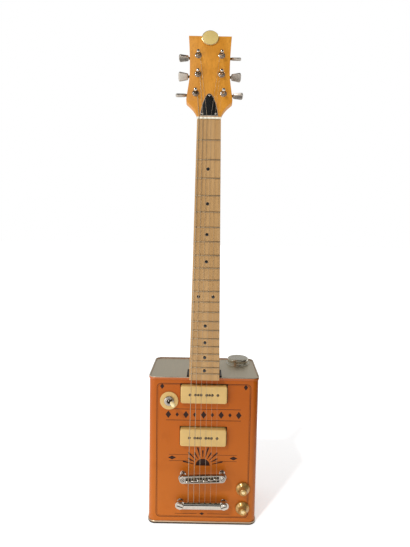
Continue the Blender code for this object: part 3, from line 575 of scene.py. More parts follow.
def piece(name, bm, finish, matrix=None, body="guitar", stands_for=(), smooth=38):
    """Puts a shape on the guitar: placed, coloured, riding on a body, in place of model pieces."""
    placed(bm, matrix or Matrix.Identity(4))
    mesh = bpy.data.meshes.new(name)
    bm.to_mesh(mesh)
    bm.free()
    mesh.shade_smooth()
    mesh.set_sharp_from_angle(angle=math.radians(smooth))
    material, slot = extra_finishes.get(finish) or (finishes[finish], finish)
    mesh.materials.append(material)
    obj = bpy.data.objects.new(name, mesh)
    bpy.context.scene.collection.objects.link(obj)
    if body:
        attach(obj, body)
    if stands_for:
        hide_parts(*stands_for)
    return obj


def screw_head(radius, height, slot_width):
    """A domed screw with a straight slot, standing on z = 0."""
    dome = [(0, height), (radius * 0.5, height * 0.9), (radius * 0.85, height * 0.55)]
    dome += [(radius, height * 0.15), (radius, -0.0004), (0, -0.0004)]
    reach = radius * 1.2
    half = slot_width / 2
    slot = box((-reach, reach), (-half, half), (height * 0.45, height * 2))
    return boolean(turned(dome, 20), [slot])


# %% [markdown]
# ## The can
#
# A five litre can is a sheet bent round and welded, with a top and a base rolled on in tall
# seams. Its wall is printed before it is bent, and its ends are left bare. Here the wall is a
# thin closed loop with the pickups', controls' and screws' openings cut through it, and each
# seam is a small rolled profile carried round the same rounded rectangle.

# %% Can wall
CAN_WIDTH = 0.205
CAN_DEPTH = 0.129
CAN_HEIGHT = 0.288
CAN_CORNER = 0.013
TIN = 0.0005
SEAM_HEIGHT = 0.0055
SEAM_OUT = 0.0015
SEAM_IN = 0.0011
TOP_RECESS = 0.002
BASE_RECESS = 0.0024
PANEL = 0.0006
NECK_PICKUP_UP = 0.2568
BRIDGE_PICKUP_UP = 0.1744
PICKUP_WIDTH = 0.0864
PICKUP_HEIGHT = 0.0334
TOGGLE_X = -0.0647
TOGGLE_UP = 0.2424
KNOB_X = 0.077
KNOBS_UP = {"volume": 0.0725, "tone": 0.034}
BRIDGE_POST_X = 0.037
STUD_X = 0.041
TAILPIECE_UP = 0.0445
JACK_Y = 0.070
JACK_Z = 0.060
COVER_WIDTH = 0.110
COVER_HEIGHT = 0.160
COVER_Z = 0.150
CAN_MIDDLE = GUITAR @ at((0, CAN_DEPTH / 2, 0))


def can_ring(profile):
    """A closed profile of (growth, height) points carried round the can."""
    rings = []
    for grow, height in profile:
        outline = rounded_rectangle(CAN_WIDTH + 2 * grow, CAN_DEPTH + 2 * grow, CAN_CORNER + grow, 10)
        rings.append([(x, y, height) for x, y in outline])
    return placed(lofted(rings, closed=True), CAN_MIDDLE)


wall_low = SEAM_HEIGHT - 0.0004
wall_high = CAN_HEIGHT - SEAM_HEIGHT + 0.0004
wall = can_ring(((0, wall_low), (0, wall_high), (-TIN, wall_high), (-TIN, wall_low)))
openings = []
for up in (NECK_PICKUP_UP, BRIDGE_PICKUP_UP):
    half_width = PICKUP_WIDTH / 2 + 0.0011
    half_height = PICKUP_HEIGHT / 2 + 0.0014
    ys = (up + 0.0007 - half_height, up + 0.0007 + half_height)
    openings.append(placed(box((-half_width, half_width), ys, (-0.004, 0.004)), FACE))
holes = [((TOGGLE_X, TOGGLE_UP, 0), 0.0062)]
holes += [((KNOB_X, up, 0), 0.005) for up in KNOBS_UP.values()]
for side in (-1, 1):
    holes.append((FACE.inverted() @ BRIDGE @ Vector((side * BRIDGE_POST_X, 0, 0)), 0.0036))
    holes.append(((side * STUD_X, TAILPIECE_UP, 0), 0.0045))
for centre, radius in holes:
    openings.append(placed(cylinder(radius, (0, 0, -0.004), (0, 0, 0.004)), FACE @ at(centre)))
jack_at = GUITAR @ at((CAN_WIDTH / 2, JACK_Y, JACK_Z)) @ Matrix.Rotation(math.pi / 2, 4, "Y")
openings.append(placed(cylinder(0.0054, (0, 0, -0.004), (0, 0, 0.004)), jack_at))
cover_at = GUITAR @ at((0, CAN_DEPTH + GAP, COVER_Z)) @ BACKWARDS
hatch = slab(rounded_rectangle(COVER_WIDTH - 0.014, COVER_HEIGHT - 0.014, 0.004), -0.004, 0.004)
openings.append(placed(hatch, cover_at))
piece("can_wall", boolean(wall, openings), "orange_tin", stands_for=["can_body"])
weld = slab(rounded_rectangle(0.0045, wall_high - wall_low - 0.006, 0.001), -0.0002, 0.00028, 0.0002)
weld_at = GUITAR @ at((-CAN_WIDTH / 2, CAN_DEPTH * 0.72, CAN_HEIGHT / 2))
weld_turn = Matrix.Rotation(math.pi / 2, 4, "X") @ Matrix.Rotation(-math.pi / 2, 4, "Y")
piece("side_weld", weld, "orange_tin", weld_at @ weld_turn)
print("openings in the wall:", len(openings))

# %% Seams, top and base
SPOUT_X = 0.070
SPOUT_Y = 0.101
SPOUT_RISE = 0.008


def seam_profile(low, top_side):
    """The rolled seam, round on its free edge, from its foot at height low."""
    radius = (SEAM_OUT + SEAM_IN) / 2
    middle = (SEAM_OUT - SEAM_IN) / 2
    arc = [math.pi * k / 8 for k in range(9)]
    crest = low + SEAM_HEIGHT - radius
    profile = [(middle + radius * math.cos(a), crest + radius * math.sin(a)) for a in arc]
    profile += [(-SEAM_IN, low + 0.0003), (-SEAM_IN + 0.0003, low)]
    profile += [(SEAM_OUT - 0.0006, low), (SEAM_OUT - 0.0001, low + 0.0005)]
    if not top_side:
        profile = [(grow, 2 * low + SEAM_HEIGHT - height) for grow, height in profile]
    return profile


def end_panel(low):
    outline = rounded_rectangle(CAN_WIDTH - 0.0016, CAN_DEPTH - 0.0016, CAN_CORNER - 0.0008, 10)
    return placed(slab(outline, low, low + PANEL), CAN_MIDDLE)


panel_top = CAN_HEIGHT - TOP_RECESS
panel = end_panel(panel_top - PANEL)
slot_cut = placed(box((-0.033, 0.033), (0.0029, 0.053), (panel_top - 0.01, panel_top + 0.01)), GUITAR)
spout_at = GUITAR @ at((SPOUT_X, SPOUT_Y, 0))
spout_hole = placed(cylinder(0.0166, (0, 0, panel_top - 0.01), (0, 0, panel_top + 0.01), 48), spout_at)
panel = boolean(panel, [slot_cut, spout_hole])
lip = CAN_HEIGHT + SPOUT_RISE
foot = panel_top - 0.0003
bead = CAN_HEIGHT - 0.0003
spout = ((0.0165, foot), (0.0250, foot), (0.0240, bead), (0.0190, bead + 0.0004))
spout = fillet((*spout, (0.0190, lip), (0.0165, lip)), 0.0009)
for turn in range(2):
    thread = bead + 0.0026 + turn * 0.0024
    where = next(k for k, (radius, height) in enumerate(spout) if radius > 0.0185 and height > thread)
    spout[where:where] = [(0.0190, thread - 0.0006), (0.01945, thread), (0.0190, thread + 0.0006)]
spout_ring = placed(turned(spout, 64, closed=True), spout_at)
top_seam = can_ring(seam_profile(CAN_HEIGHT - SEAM_HEIGHT, True))
piece("can_top_panel", panel, "bare_tin", stands_for=["can_top"])
piece("spout_neck", spout_ring, "pewter")
piece("top_seam", top_seam, "seam_tin")
base_seam = can_ring(seam_profile(0, False))
piece("base_seam", base_seam, "base_tin", stands_for=["can_base"])
piece("base_panel", end_panel(BASE_RECESS), "bare_tin")

# %% [markdown]
# The screw cap is a shallow drawn cup with a rolled lower edge and a pressed ring on its top.
# It is turned as one profile. It rides on the cap's own body, so it rises as it unscrews.

# %% Screw cap
CAP_RADIUS = 0.0214
ceiling = 2 * GAP + 0.0007
skirt = -SPOUT_RISE - 0.0001
cap = [(0, ceiling + 0.0006), (0.0120, ceiling + 0.0006), (0.0132, ceiling + 0.0009)]
cap += [(0.0146, ceiling + 0.0012), (0.0172, ceiling + 0.0012), (0.0190, ceiling + 0.0010)]
cap += [(0.0203, ceiling + 0.0004), (0.0211, ceiling - 0.0008), (CAP_RADIUS, ceiling - 0.0022)]
cap += [(CAP_RADIUS, skirt + 0.0022), (0.0211, skirt + 0.0018), (0.0214, skirt + 0.0012)]
cap += [(0.0216, skirt + 0.0007), (0.0213, skirt), (0.0200, skirt), (0.0198, skirt + 0.0006)]
cap += [(0.0197, ceiling), (0, ceiling)]
cap_at = GUITAR @ at((SPOUT_X, SPOUT_Y, lip))
piece("screw_cap", turned(cap, 72), "pewter", cap_at, "spout_cap", ["spout_cap"])

# %% [markdown]
# The back carries a plate over the electrics, held by eight small screws, and a strap button.
# The picture shows none of this, so it is kept to the plainest usual form.

# %% Back plate, screws and strap button
outline = rounded_rectangle(COVER_WIDTH, COVER_HEIGHT, 0.008)
piece("back_plate", slab(outline, 0, 0.0012, 0.0006), "bare_tin", cover_at, stands_for=["back_cover"])
screw_x = COVER_WIDTH / 2 - 0.0045
screw_y = COVER_HEIGHT / 2 - 0.0045
spots = [(sx * screw_x, sy * screw_y) for sx in (-1, 1) for sy in (-1, 0, 1)]
spots += [(0, sy * screw_y) for sy in (-1, 1)]
places = []
for k, (x, y) in enumerate(spots):
    places.append(cover_at @ at((x, y, 0.0012)) @ Matrix.Rotation(k * 1.3, 4, "Z"))
piece("back_plate_screws", stamp(screw_head(0.0031, 0.0013, 0.0006), places), "nickel")
STRAP_BUTTON_Z = 0.034
length = 0.0117
button = fillet(
    (
        (0, length),
        (0.0072, length),
        (0.0077, length - 0.0028),
        (0.0043, length - 0.0050),
        (0.0043, 0.0030),
        (0.0064, 0.0010),
        (0.0064, 0),
        (0, 0),
    ),
    0.0012,
    closed=False,
)
button_at = GUITAR @ at((0, CAN_DEPTH + GAP, STRAP_BUTTON_Z)) @ BACKWARDS
cross = box((-0.0022, 0.0022), (-0.0004, 0.0004), (length - 0.0012, length + 0.01))
strap_button = boolean(turned(button, 40), [cross])
piece("strap_button", strap_button, "chrome", button_at, stands_for=["strap_button_tail"])

# %% [markdown]
# ## The ornament on the can
#
# Such a can is printed with dark ink on its ground colour. The ornament here is a plain one:
# a double rule round the front, a row of lozenges and a fan of rays. Each mark is a skin a tenth
# of a millimetre thick, lying on the wall, which keeps its edge sharp at any size.
# Drawing it in the wall's own material would work too, but a curve is easier to say as a shape.

# %% Ornament
INK = 0.0001
LOZENGES = 9
RAYS = 11


def rule_loop(width, height, radius, line, middle_up):
    """A thin line along a rounded rectangle."""
    outer = rounded_rectangle(width, height, radius, 6)
    inner = rounded_rectangle(width - 2 * line, height - 2 * line, radius - line, 6)
    rings = []
    for outline, level in ((outer, 0), (outer, INK), (inner, INK), (inner, 0)):
        rings.append([(x, y + middle_up, level) for x, y in outline])
    return lofted(rings, closed=True)


def mark(points):
    return slab(points, 0, INK)


def lozenge(x, y, half_width, half_height):
    return mark([(x + half_width, y), (x, y + half_height), (x - half_width, y), (x, y - half_height)])


def bar(x0, x1, y, line):
    return mark([(x0, y - line / 2), (x1, y - line / 2), (x1, y + line / 2), (x0, y + line / 2)])


fan_up = 0.1150
row_up = 0.2156
rule_middle = 0.1445
bar_up = fan_up + 0.0165
foot_rule_up = 0.0205
LOZENGE_STEP = 0.0165
marks = [
    rule_loop(0.176, 0.262, 0.008, 0.0009, rule_middle),
    rule_loop(0.1715, 0.2575, 0.006, 0.0004, rule_middle),
]
for k in range(LOZENGES):
    x = (k - (LOZENGES - 1) / 2) * LOZENGE_STEP
    large = 1 if k % 2 == 0 else 0.62
    marks.append(lozenge(x, row_up, 0.0052 * large, 0.0072 * large))
for sign in (-1, 1):
    marks.append(bar(-0.070, 0.070, row_up + sign * 0.0108, 0.0009))
    marks.append(bar(-0.064, -0.016, bar_up + sign * 0.006, 0.0006))
    marks.append(bar(0.016, 0.064, bar_up + sign * 0.006, 0.0006))
    marks.append(lozenge(sign * 0.058, bar_up, 0.0075, 0.0038))
    marks.append(lozenge(sign * 0.078, 0.2695, 0.004, 0.0055))
    marks.append(bar(*sorted((sign * 0.010, sign * 0.052)), foot_rule_up, 0.0007))
for k in range(RAYS):
    angle = math.pi * (0.08 + 0.84 * k / (RAYS - 1))
    near, far = 0.0175, 0.0375 if k % 2 == 0 else 0.0305
    along = Vector((math.cos(angle), math.sin(angle)))
    across = Vector((-along.y, along.x))
    middle = Vector((0, fan_up))
    corners = []
    for reach, half in ((near, -0.0005), (far, -0.0016), (far + 0.002, 0), (far, 0.0016), (near, 0.0005)):
        corners.append(tuple(middle + along * reach + across * half))
    marks.append(mark(corners))
marks.append(lozenge(0, foot_rule_up, 0.0045, 0.0028))
half_sun = [(0.0, fan_up + 0.0015)] + circle(0.0135, 24, (0, fan_up + 0.0015))[0:7]
marks.append(mark(both_sides(half_sun)))
piece("printed_ornament", joined(*marks), "brown_ink", FACE)
print("printed marks:", len(marks))

# %% [markdown]
# ## The neck and head
#
# The neck is one length of maple, carved to a flattened half round that deepens to a heel, with
# the head raked back at its end. It is lofted from cross sections along its length, as a carver
# would work between templates. The head is a slab with softly rounded edges, joined to it.

# %% Neck
BOARD_LENGTH = 0.4675
BOARD_THICKNESS = 0.0055
SCALE_LENGTH = 0.648
NUT_HALF = 0.02105
BOARD_END_HALF = 0.02735
HEEL_HALF = 0.0276
HEEL_BACK = 0.052
HEEL_START = 0.402
HEEL_END = 0.455
HEAD_LENGTH = 0.165
HEAD_THICKNESS = 0.0135
POST_UP = (0.0462, 0.0848, 0.1238)
POST_X = (0.0248, 0.0212, 0.0213)


def board_half(below_nut):
    return NUT_HALF + (BOARD_END_HALF - NUT_HALF) * below_nut / BOARD_LENGTH


def shaft_section(below_nut):
    """Half width, depth and squareness of the neck behind the board."""
    depth = 0.0145 + 0.0022 * max(below_nut, 0) / BOARD_LENGTH
    half = board_half(below_nut)
    squareness = 2.3
    if below_nut > HEEL_START:
        along = min((below_nut - HEEL_START) / (HEEL_END - HEEL_START), 1)
        front = -NUT_OUT - below_nut * math.sin(NECK_LEAN) + BOARD_THICKNESS + GAP
        depth += (HEEL_BACK - front - depth) * (1 - math.sqrt(max(1 - along * along, 0)))
        half += (HEEL_HALF - half) * along
        squareness += 9 * along
    return half, depth, squareness


def neck_shaft():
    heel_steps = 12
    turns = [math.pi / 2 * k / heel_steps for k in range(heel_steps + 1)]
    stations = [-0.019, 0, 0.06, 0.12, 0.18, 0.24, 0.30, 0.36]
    stations += [HEEL_START + (HEEL_END - HEEL_START) * math.sin(turn) for turn in turns]
    stations.append(BOARD_LENGTH)
    around = 36
    front = -BOARD_THICKNESS - GAP / 3
    rings = []
    for below_nut in stations:
        half, depth, squareness = shaft_section(below_nut)
        ring = []
        for step in range(around + 1):
            angle = math.pi * step / around
            across = math.cos(angle)
            x = math.copysign(abs(across) ** (2 / squareness), across) * half
            deep = 0 if step in (0, around) else depth * math.sin(angle) ** (2 / squareness)
            ring.append((x, -below_nut, front - deep))
        rings.append(ring)
    return placed(lofted(rings), NECK)


def head_outline():
    """Flared sides, sharp top corners and an S-curve in to the nut."""
    shoulder = (0.0398, 0.0292)
    widest = (0.0412, 0.0345)
    waist = (0.0362, 0.088)
    corner = (0.0396, HEAD_LENGTH)
    right = bezier((0.0208, 0), (0.0216, 0.012), (0.034, 0.0245), shoulder, 14)
    right += bezier(shoulder, (0.0408, 0.0302), (0.0412, 0.0322), widest, 7)
    right += bezier(widest, (0.0404, 0.047), (0.0362, 0.070), waist, 10)
    right += bezier(waist, (0.0362, 0.110), (0.0376, 0.140), corner, 10)
    right.append(corner)
    return both_sides(right)


head = placed(slab(head_outline(), -HEAD_THICKNESS, 0, 0.0007, 0.0024), HEAD)
heel = placed(box((-0.0272, 0.0272), (0.0043, HEEL_BACK - 0.0004), (0.279, 0.293)), GUITAR)
tenon = placed(box((-0.0268, 0.0268), (0.0168, HEEL_BACK - 0.0008), (0.215, 0.2845)), GUITAR)
neck = boolean(neck_shaft(), [head, heel, tenon], "UNION")
kerf = placed(box((-0.04, 0.04), (-0.0019, 0.0033), (0.27, CAN_HEIGHT + 0.0004)), GUITAR)
nut_seat = placed(box((-0.04, 0.04), (-0.004, 0.0041), (-BOARD_THICKNESS - GAP / 3, 0.02)), NECK)
rod_channel = placed(box((-0.0032, 0.0032), (-0.430, 0.030), (-0.0145, -0.0052)), NECK)
piece("maple_neck", boolean(neck, [kerf, nut_seat, rod_channel]), "maple", stands_for=["neck"])

# %% [markdown]
# The fretboard is a second, paler piece of maple. Frets are T-shaped wire hammered into slots,
# so that only a crown half as high as it is wide stands proud; dots are inlaid between them.
# Each fret's distance follows the rule that twelve frets halve the string.

# %% Fretboard, frets and dots
FRET_COUNT = 21
DOTTED = (3, 5, 7, 9, 12, 15, 17, 19, 21)


def fret_distance(number):
    return SCALE_LENGTH * (1 - 2 ** (-number / 12))


corners = ((-NUT_HALF, 0), (-BOARD_END_HALF, -BOARD_LENGTH), (BOARD_END_HALF, -BOARD_LENGTH), (NUT_HALF, 0))
board = slab(corners, -BOARD_THICKNESS, 0, 0.0006)
piece("fretboard_wood", board, "board", NECK, stands_for=["fretboard"])
frets = []
for number in range(1, FRET_COUNT + 1):
    distance = fret_distance(number)
    half = board_half(distance) - 0.0004
    arc = [math.pi * k / 8 for k in range(9)]
    crown = [(0.00125 * math.cos(a) - distance, 0.0011 * math.sin(a)) for a in arc]
    crown += [(-0.00125 - distance, -0.0003), (0.00125 - distance, -0.0003)]
    frets.append(placed(slab(crown, -half, half, 0.0004, 0.0004, 2), SIDEWAYS))
piece("frets", joined(*frets), "fret_wire", NECK)
dots = []
for number in DOTTED:
    up = -(fret_distance(number - 1) + fret_distance(number)) / 2
    for x in (-0.0132, 0.0132) if number == 12 else (0,):
        dots.append(at((x, up, 0)))
dot = turned(((0, 0.00015), (0.0028, 0.00012), (0.003, 0), (0.003, -0.0008), (0, -0.0008)), 28)
piece("fret_dots", stamp(dot, dots), "black", NECK)
side_dots = []
for number in DOTTED:
    distance = (fret_distance(number - 1) + fret_distance(number)) / 2
    side_at = at((-board_half(distance) + 0.0003, -distance, -0.0026))
    side_dots.append(side_at @ Matrix.Rotation(-math.pi / 2, 4, "Y"))
side_dot = turned(((0, 0.0004), (0.0009, 0.00038), (0.001, 0.0002), (0.001, -0.001), (0, -0.001)), 16)
piece("side_dots", stamp(side_dot, side_dots), "black", NECK)

# %% [markdown]
# The nut is a strip of bone with six slots, deeper for the thin strings. Above it lies the bell
# shaped cover of the truss rod, cut from black sheet with a pale core that shows at its edge.
# The round badge at the top of the head is left bare: an enamelled dome in a brass ring.

# %% Nut, rod cover and badge
STRING_RADII = (0.000584, 0.000457, 0.00033, 0.000216, 0.000165, 0.000127)
NUT_SPREAD = 0.035
SADDLE_SPREAD = 0.052
NUT_SLOT = 0.0013


def string_x(index, spread):
    return (index / 5 - 0.5) * spread


foot = -BOARD_THICKNESS
section = fillet(((0.0003, foot), (0.0038, foot), (0.0038, 0.0016), (0.0003, 0.0023)), 0.0006)
bone = placed(slab(section, -NUT_HALF, NUT_HALF, 0.0004, 0.0004, 3), SIDEWAYS)
cuts = []
for index, radius in enumerate(STRING_RADII):
    x = string_x(index, NUT_SPREAD)
    half = radius + GAP / 2
    cuts.append(box((x - half, x + half), (-0.01, 0.01), (NUT_SLOT, 0.01)))
piece("bone_nut", boolean(bone, cuts), "bone", NECK, stands_for=["nut"])

right = [(0.0158, 0.0015), (0.0155, 0.006)]
right += bezier((0.0148, 0.0105), (0.0128, 0.022), (0.0098, 0.036), (0.0036, 0.0436), 16)
right += bezier((0.0036, 0.0436), (0.0026, 0.0449), (0.0012, 0.0453), (0, 0.0453), 6)
right.append((0, 0.0453))
bell = both_sides(right)
piece("rod_cover_core", slab(bell, GAP, 0.0014), "pale_edge", HEAD)
black_sheet = slab(inset(bell, 0.00045), 0.0012, 0.0022, 0.0006)
piece("rod_cover", black_sheet, "black", HEAD, stands_for=["truss_rod_cover"])
spots = ((0, 0.0415, 0.4), (-0.0118, 0.0055, 1.2), (0.0118, 0.0055, 2.3))
places = [HEAD @ at((x, y, 0.0022)) @ Matrix.Rotation(turn, 4, "Z") for x, y, turn in spots]
piece("rod_cover_screws", stamp(screw_head(0.0019, 0.0009, 0.0004), places), "chrome")

BADGE_UP = 0.1598
badge_at = HEAD @ at((0, BADGE_UP, 0))
ring = fillet(((0.0146, GAP), (0.0155, GAP), (0.0155, 0.0021), (0.0146, 0.0023)), 0.0003)
piece("badge_ring", turned(ring, 72, closed=True), "badge_rim", badge_at)
dome = [(0, 0.0026), (0.004, 0.00255), (0.008, 0.0024), (0.0120, 0.0021), (0.0147, 0.0017)]
dome += [(0.0147, GAP), (0, GAP)]
piece("badge_face", turned(dome, 72), "badge", badge_at, stands_for=["head_badge"])

# %% [markdown]
# ## The tuners
#
# Each tuner is a small gear case screwed to the back of the head. Its threaded bushing comes
# through to the front, where a washer and a hexagonal nut clamp it. The post turns in the
# bushing, and a worm on the button's shaft drives it. The parts are drawn once for the right
# side and mirrored for the left. Button and post ride on their own bodies.

# %% Tuners
WORM_UP = 0.008
WORM_OUT = -HEAD_THICKNESS - 0.0048
POST_WAIST = 0.0024
STRING_RISE = 0.008
POST_TOP = 0.0135
VIEW_TILT = math.radians(38)
BUTTON_TURNS = {-1: (92, 8, 52), 1: (55, 25, 92)}
ROWS = [(-1, 0), (-1, 1), (-1, 2), (1, 2), (1, 1), (1, 0)]


def tuner_case():
    back = -HEAD_THICKNESS - GAP
    shell = slab(rounded_rectangle(0.016, 0.020, 0.0045), back - 0.009, back - 0.0014, 0, 0.0028)
    plate = slab(rounded_rectangle(0.0168, 0.0208, 0.005), back - 0.0014, back, 0, 0.0005)
    lug = slab(circle(0.0042, 28, (0, -0.0095)), back - 0.0013, back, 0, 0.0005)
    centred = at((0.0005, 0.003, 0))
    return joined(placed(shell, centred), placed(plate, centred), lug)


def tuner_front():
    sleeve = fillet(((0.0033, -0.0140), (0.0047, -0.0140), (0.0047, 0.0036), (0.0033, 0.0037)), 0.0005)
    washer = fillet(((0.0046, GAP / 3), (0.0063, GAP / 3), (0.0061, 0.0010), (0.0046, 0.0014)), 0.0004)
    hexagon = slab(fillet(circle(0.0058, 6), 0.0005, 2), 0.0009, 0.0031, 0.0004)
    return joined(turned(sleeve, 40, closed=True), turned(washer, 48, closed=True), hexagon)


def tuner_post():
    top = POST_TOP
    profile = [(0, top), (0.0016, top - 0.0001), (0.0025, top - 0.0005), (0.003, top - 0.0013)]
    profile += [(0.003, top - 0.0032), (0.0027, top - 0.0038), (POST_WAIST, top - 0.0044)]
    profile += [(POST_WAIST, 0.0066), (0.0027, 0.0058), (0.003, 0.0052), (0.003, -0.0211), (0, -0.0211)]
    hole = cylinder(0.0009, (-0.006, 0, STRING_RISE), (0.006, 0, STRING_RISE), 16)
    return boolean(turned(profile, 32), [hole])


def tuner_paddle():
    upper = [(0.0184, 0.0054), (0.0350, 0.0086), (0.0366, 0.0046)]
    outline = [(x, -y) for x, y in upper] + list(reversed(upper))
    return slab(fillet(outline, 0.0020, 6), -0.0027, 0.0027, 0.0015, 0.0015, 5)


def tuner_shaft():
    profile = [(0, 0.0215), (0.0024, 0.0215), (0.0024, 0.0150), (0.0021, 0.0148)]
    profile += [(0.0021, 0.0116), (0.0034, 0.0114), (0.0034, 0.0090)]
    profile += [(0.0021, 0.0088), (0.0021, -0.0045), (0, -0.0045)]
    return placed(turned(profile, 28), SIDEWAYS @ Matrix.Rotation(math.pi / 2, 4, "Z"))


def winding(radius, side):
    """Three turns of string round the post, ending where the string leaves for the nut."""
    reach = POST_WAIST + radius
    points = []
    for step in range(61):
        angle = math.pi * (1 if side > 0 else 0) - side * 2 * math.pi * step / 20
        rise = STRING_RISE - step / 20 * radius * 2.1
        points.append((reach * math.cos(angle), reach * math.sin(angle), rise))
    return tube(points, radius, 8)


MIRROR = Matrix.Diagonal((-1, 1, 1, 1))
for number, (side, row) in enumerate(ROWS, 1):
    flip = MIRROR if side < 0 else Matrix.Identity(4)
    place = HEAD @ at((side * POST_X[row], POST_UP[row], 0))
    turn = VIEW_TILT + math.radians(BUTTON_TURNS[side][row])
    worm_at = place @ at((0, WORM_UP, WORM_OUT)) @ Matrix.Rotation(turn, 4, "X") @ flip
    housing = f"tuner_housing_{number}"
    post_body = f"tuner_post_{number}"
    button_body = f"tuner_button_{number}"
    piece(f"tuner_case_{number}", tuner_case(), "nickel", place @ flip, stands_for=[housing])
    # The bushing, washer and nut are darkened nickel: painted dark reflection.
    piece(f"tuner_bushing_{number}", tuner_front(), "nickel_dark_reflection", place)
    piece(f"string_post_{number}", tuner_post(), "chrome", place, post_body, [post_body])
    piece(f"paddle_{number}", tuner_paddle(), "aged_nickel", worm_at, button_body, [button_body])
    piece(f"worm_shaft_{number}", tuner_shaft(), "dark_steel_and_shade", worm_at, button_body)
    screw_at = place @ at((0, -0.0105, -HEAD_THICKNESS - 0.0016)) @ Matrix.Rotation(math.pi, 4, "X")
    piece(f"tuner_screw_{number}", screw_head(0.0024, 0.001, 0.0005), "nickel", screw_at)
    # The windings take the dark steel finish as painted shade: their turns lie in shadow round the post.
    coil = winding(STRING_RADII[number - 1], side)
    piece(f"post_winding_{number}", coil, "dark_steel_and_shade", place, post_body)
print("tuners:", len(ROWS))

# %% [markdown]
# ## Pickups
#
# Each pickup is a moulded cream cover of about 86 x 33 mm that stands a little out of its
# opening. Six adjustable pole screws show as slotted heads under the strings, and two longer
# screws between them hold the pickup down.

# %% Pickups
PICKUP_RISE = 0.009
PICKUP_DEPTH = 0.016
POLE_SPREAD = 0.0515
MOUNTING_X = 0.0103


def well(screw_at, radius):
    """A cutter round a screw's place, a little deeper than its head."""
    out = screw_at.col[2].xyz
    start = screw_at.translation - out * 0.0008
    return cylinder(radius, start, screw_at.translation + out * 0.002, 20)


for name, up in (("neck_pickup", NECK_PICKUP_UP), ("bridge_pickup", BRIDGE_PICKUP_UP)):
    outline = rounded_rectangle(PICKUP_WIDTH, PICKUP_HEIGHT, 0.0045)
    cover = slab(outline, -PICKUP_DEPTH, PICKUP_RISE, 0.0023, 0, 6)
    pickup_at = FACE @ at((0, up, 0))
    poles = []
    for index in range(6):
        spot = at((string_x(index, POLE_SPREAD), 0, PICKUP_RISE - 0.0002))
        poles.append(pickup_at @ spot @ Matrix.Rotation(0.5 + index * 0.9, 4, "Z"))
    wells = [well(pole, 0.0027) for pole in poles]
    mounting = [pickup_at @ at((x, 0, PICKUP_RISE - 0.0003)) for x in (-MOUNTING_X, MOUNTING_X)]
    wells += [well(screw, 0.0024) for screw in mounting]
    piece(f"{name}_cover", boolean(placed(cover, pickup_at), wells), "cream", stands_for=[name])
    piece(f"{name}_poles", stamp(screw_head(0.0026, 0.0007, 0.0006), poles), "dark_steel_and_shade")
    piece(f"{name}_screws", stamp(screw_head(0.0022, 0.0005, 0.0007), mounting), "dark_steel_and_shade")

# %% [markdown]
# ## Bridge and tailpiece
#
# The bridge is a plated casting with a long pocket, in which six saddles slide on screws. It
# rests on two thumbwheels. The stop bar behind it is a half-round bar hooked on two studs with
# wide slots. Both keep softly rounded edges, because plating is only as smooth as the casting.

# %% Bridge
BRIDGE_BACK = 0.0166
BRIDGE_FRONT = 0.0228
SADDLE_TOP = 0.0254
SADDLE_OFFSETS = (-0.0022, -0.0012, -0.0002, -0.0012, -0.0002, 0.001)
stadium = rounded_rectangle(0.086, 0.015, 0.0070, 12)
body = slab(stadium, BRIDGE_BACK, BRIDGE_FRONT, 0.0013, 0.0006)
pocket = slab(rounded_rectangle(0.0628, 0.0106, 0.001, 3), BRIDGE_BACK + 0.002, 0.03)
cuts = [pocket]
for side in (-1, 1):
    cuts.append(cylinder(0.0037, (side * BRIDGE_POST_X, 0, 0), (side * BRIDGE_POST_X, 0, 0.03)))
piece("bridge_body", boolean(body, cuts), "bridge_metal", BRIDGE, "bridge", ["bridge"])
screws = []
for index in range(6):
    x = string_x(index, SADDLE_SPREAD)
    screws.append(cylinder(0.0010, (x, -0.0054, 0.0206), (x, 0.0054, 0.0206), 16))
    head_at = at((x, -0.0074, 0.0200)) @ Matrix.Rotation(math.pi / 2, 4, "X")
    screws.append(placed(screw_head(0.0019, 0.0011, 0.0005), head_at))
piece("saddle_screws", joined(*screws), "steel", BRIDGE, "bridge")
for index, offset in enumerate(SADDLE_OFFSETS):
    low = BRIDGE_BACK + 0.0023
    ridge = ((-0.0016, low), (0.0016, low), (0.0016, 0.0236))
    ridge += ((0.0005, SADDLE_TOP), (-0.0005, SADDLE_TOP), (-0.0016, 0.0236))
    saddle = placed(slab(fillet(ridge, 0.0003, 2), -0.00485, 0.00485, 0.0004, 0.0004, 2), SIDEWAYS)
    saddle_at = BRIDGE @ at((string_x(index, SADDLE_SPREAD), offset, 0))
    node = f"saddle_{index + 1}"
    piece(f"saddle_block_{index + 1}", saddle, "nickel", saddle_at, node, [node])
for side, name in ((-1, "bridge_post_bass"), (1, "bridge_post_treble")):
    top = BRIDGE_FRONT + 0.0004
    wheel = BRIDGE_BACK - GAP
    profile = [(0, top), (0.0027, top), (0.0033, top - 0.0006), (0.0033, wheel), (0.0074, wheel)]
    profile += [(0.0078, wheel - 0.0005), (0.0078, wheel - 0.0020), (0.0074, wheel - 0.0025)]
    profile += [(0.0027, wheel - 0.0025), (0.0027, -0.020), (0, -0.020)]
    ribs = (32, 0.00018, wheel - 0.0021, wheel - 0.0004)
    post = turned(profile, 128, ribs=ribs)
    slot = box((-0.005, 0.005), (-0.0005, 0.0005), (top - 0.0012, top + 0.01))
    post_at = BRIDGE @ at((side * BRIDGE_POST_X, 0, 0)) @ Matrix.Rotation(0.7 * side, 4, "Z")
    piece(f"{name}_screw", boolean(post, [slot]), "bridge_metal", post_at, name, [name])

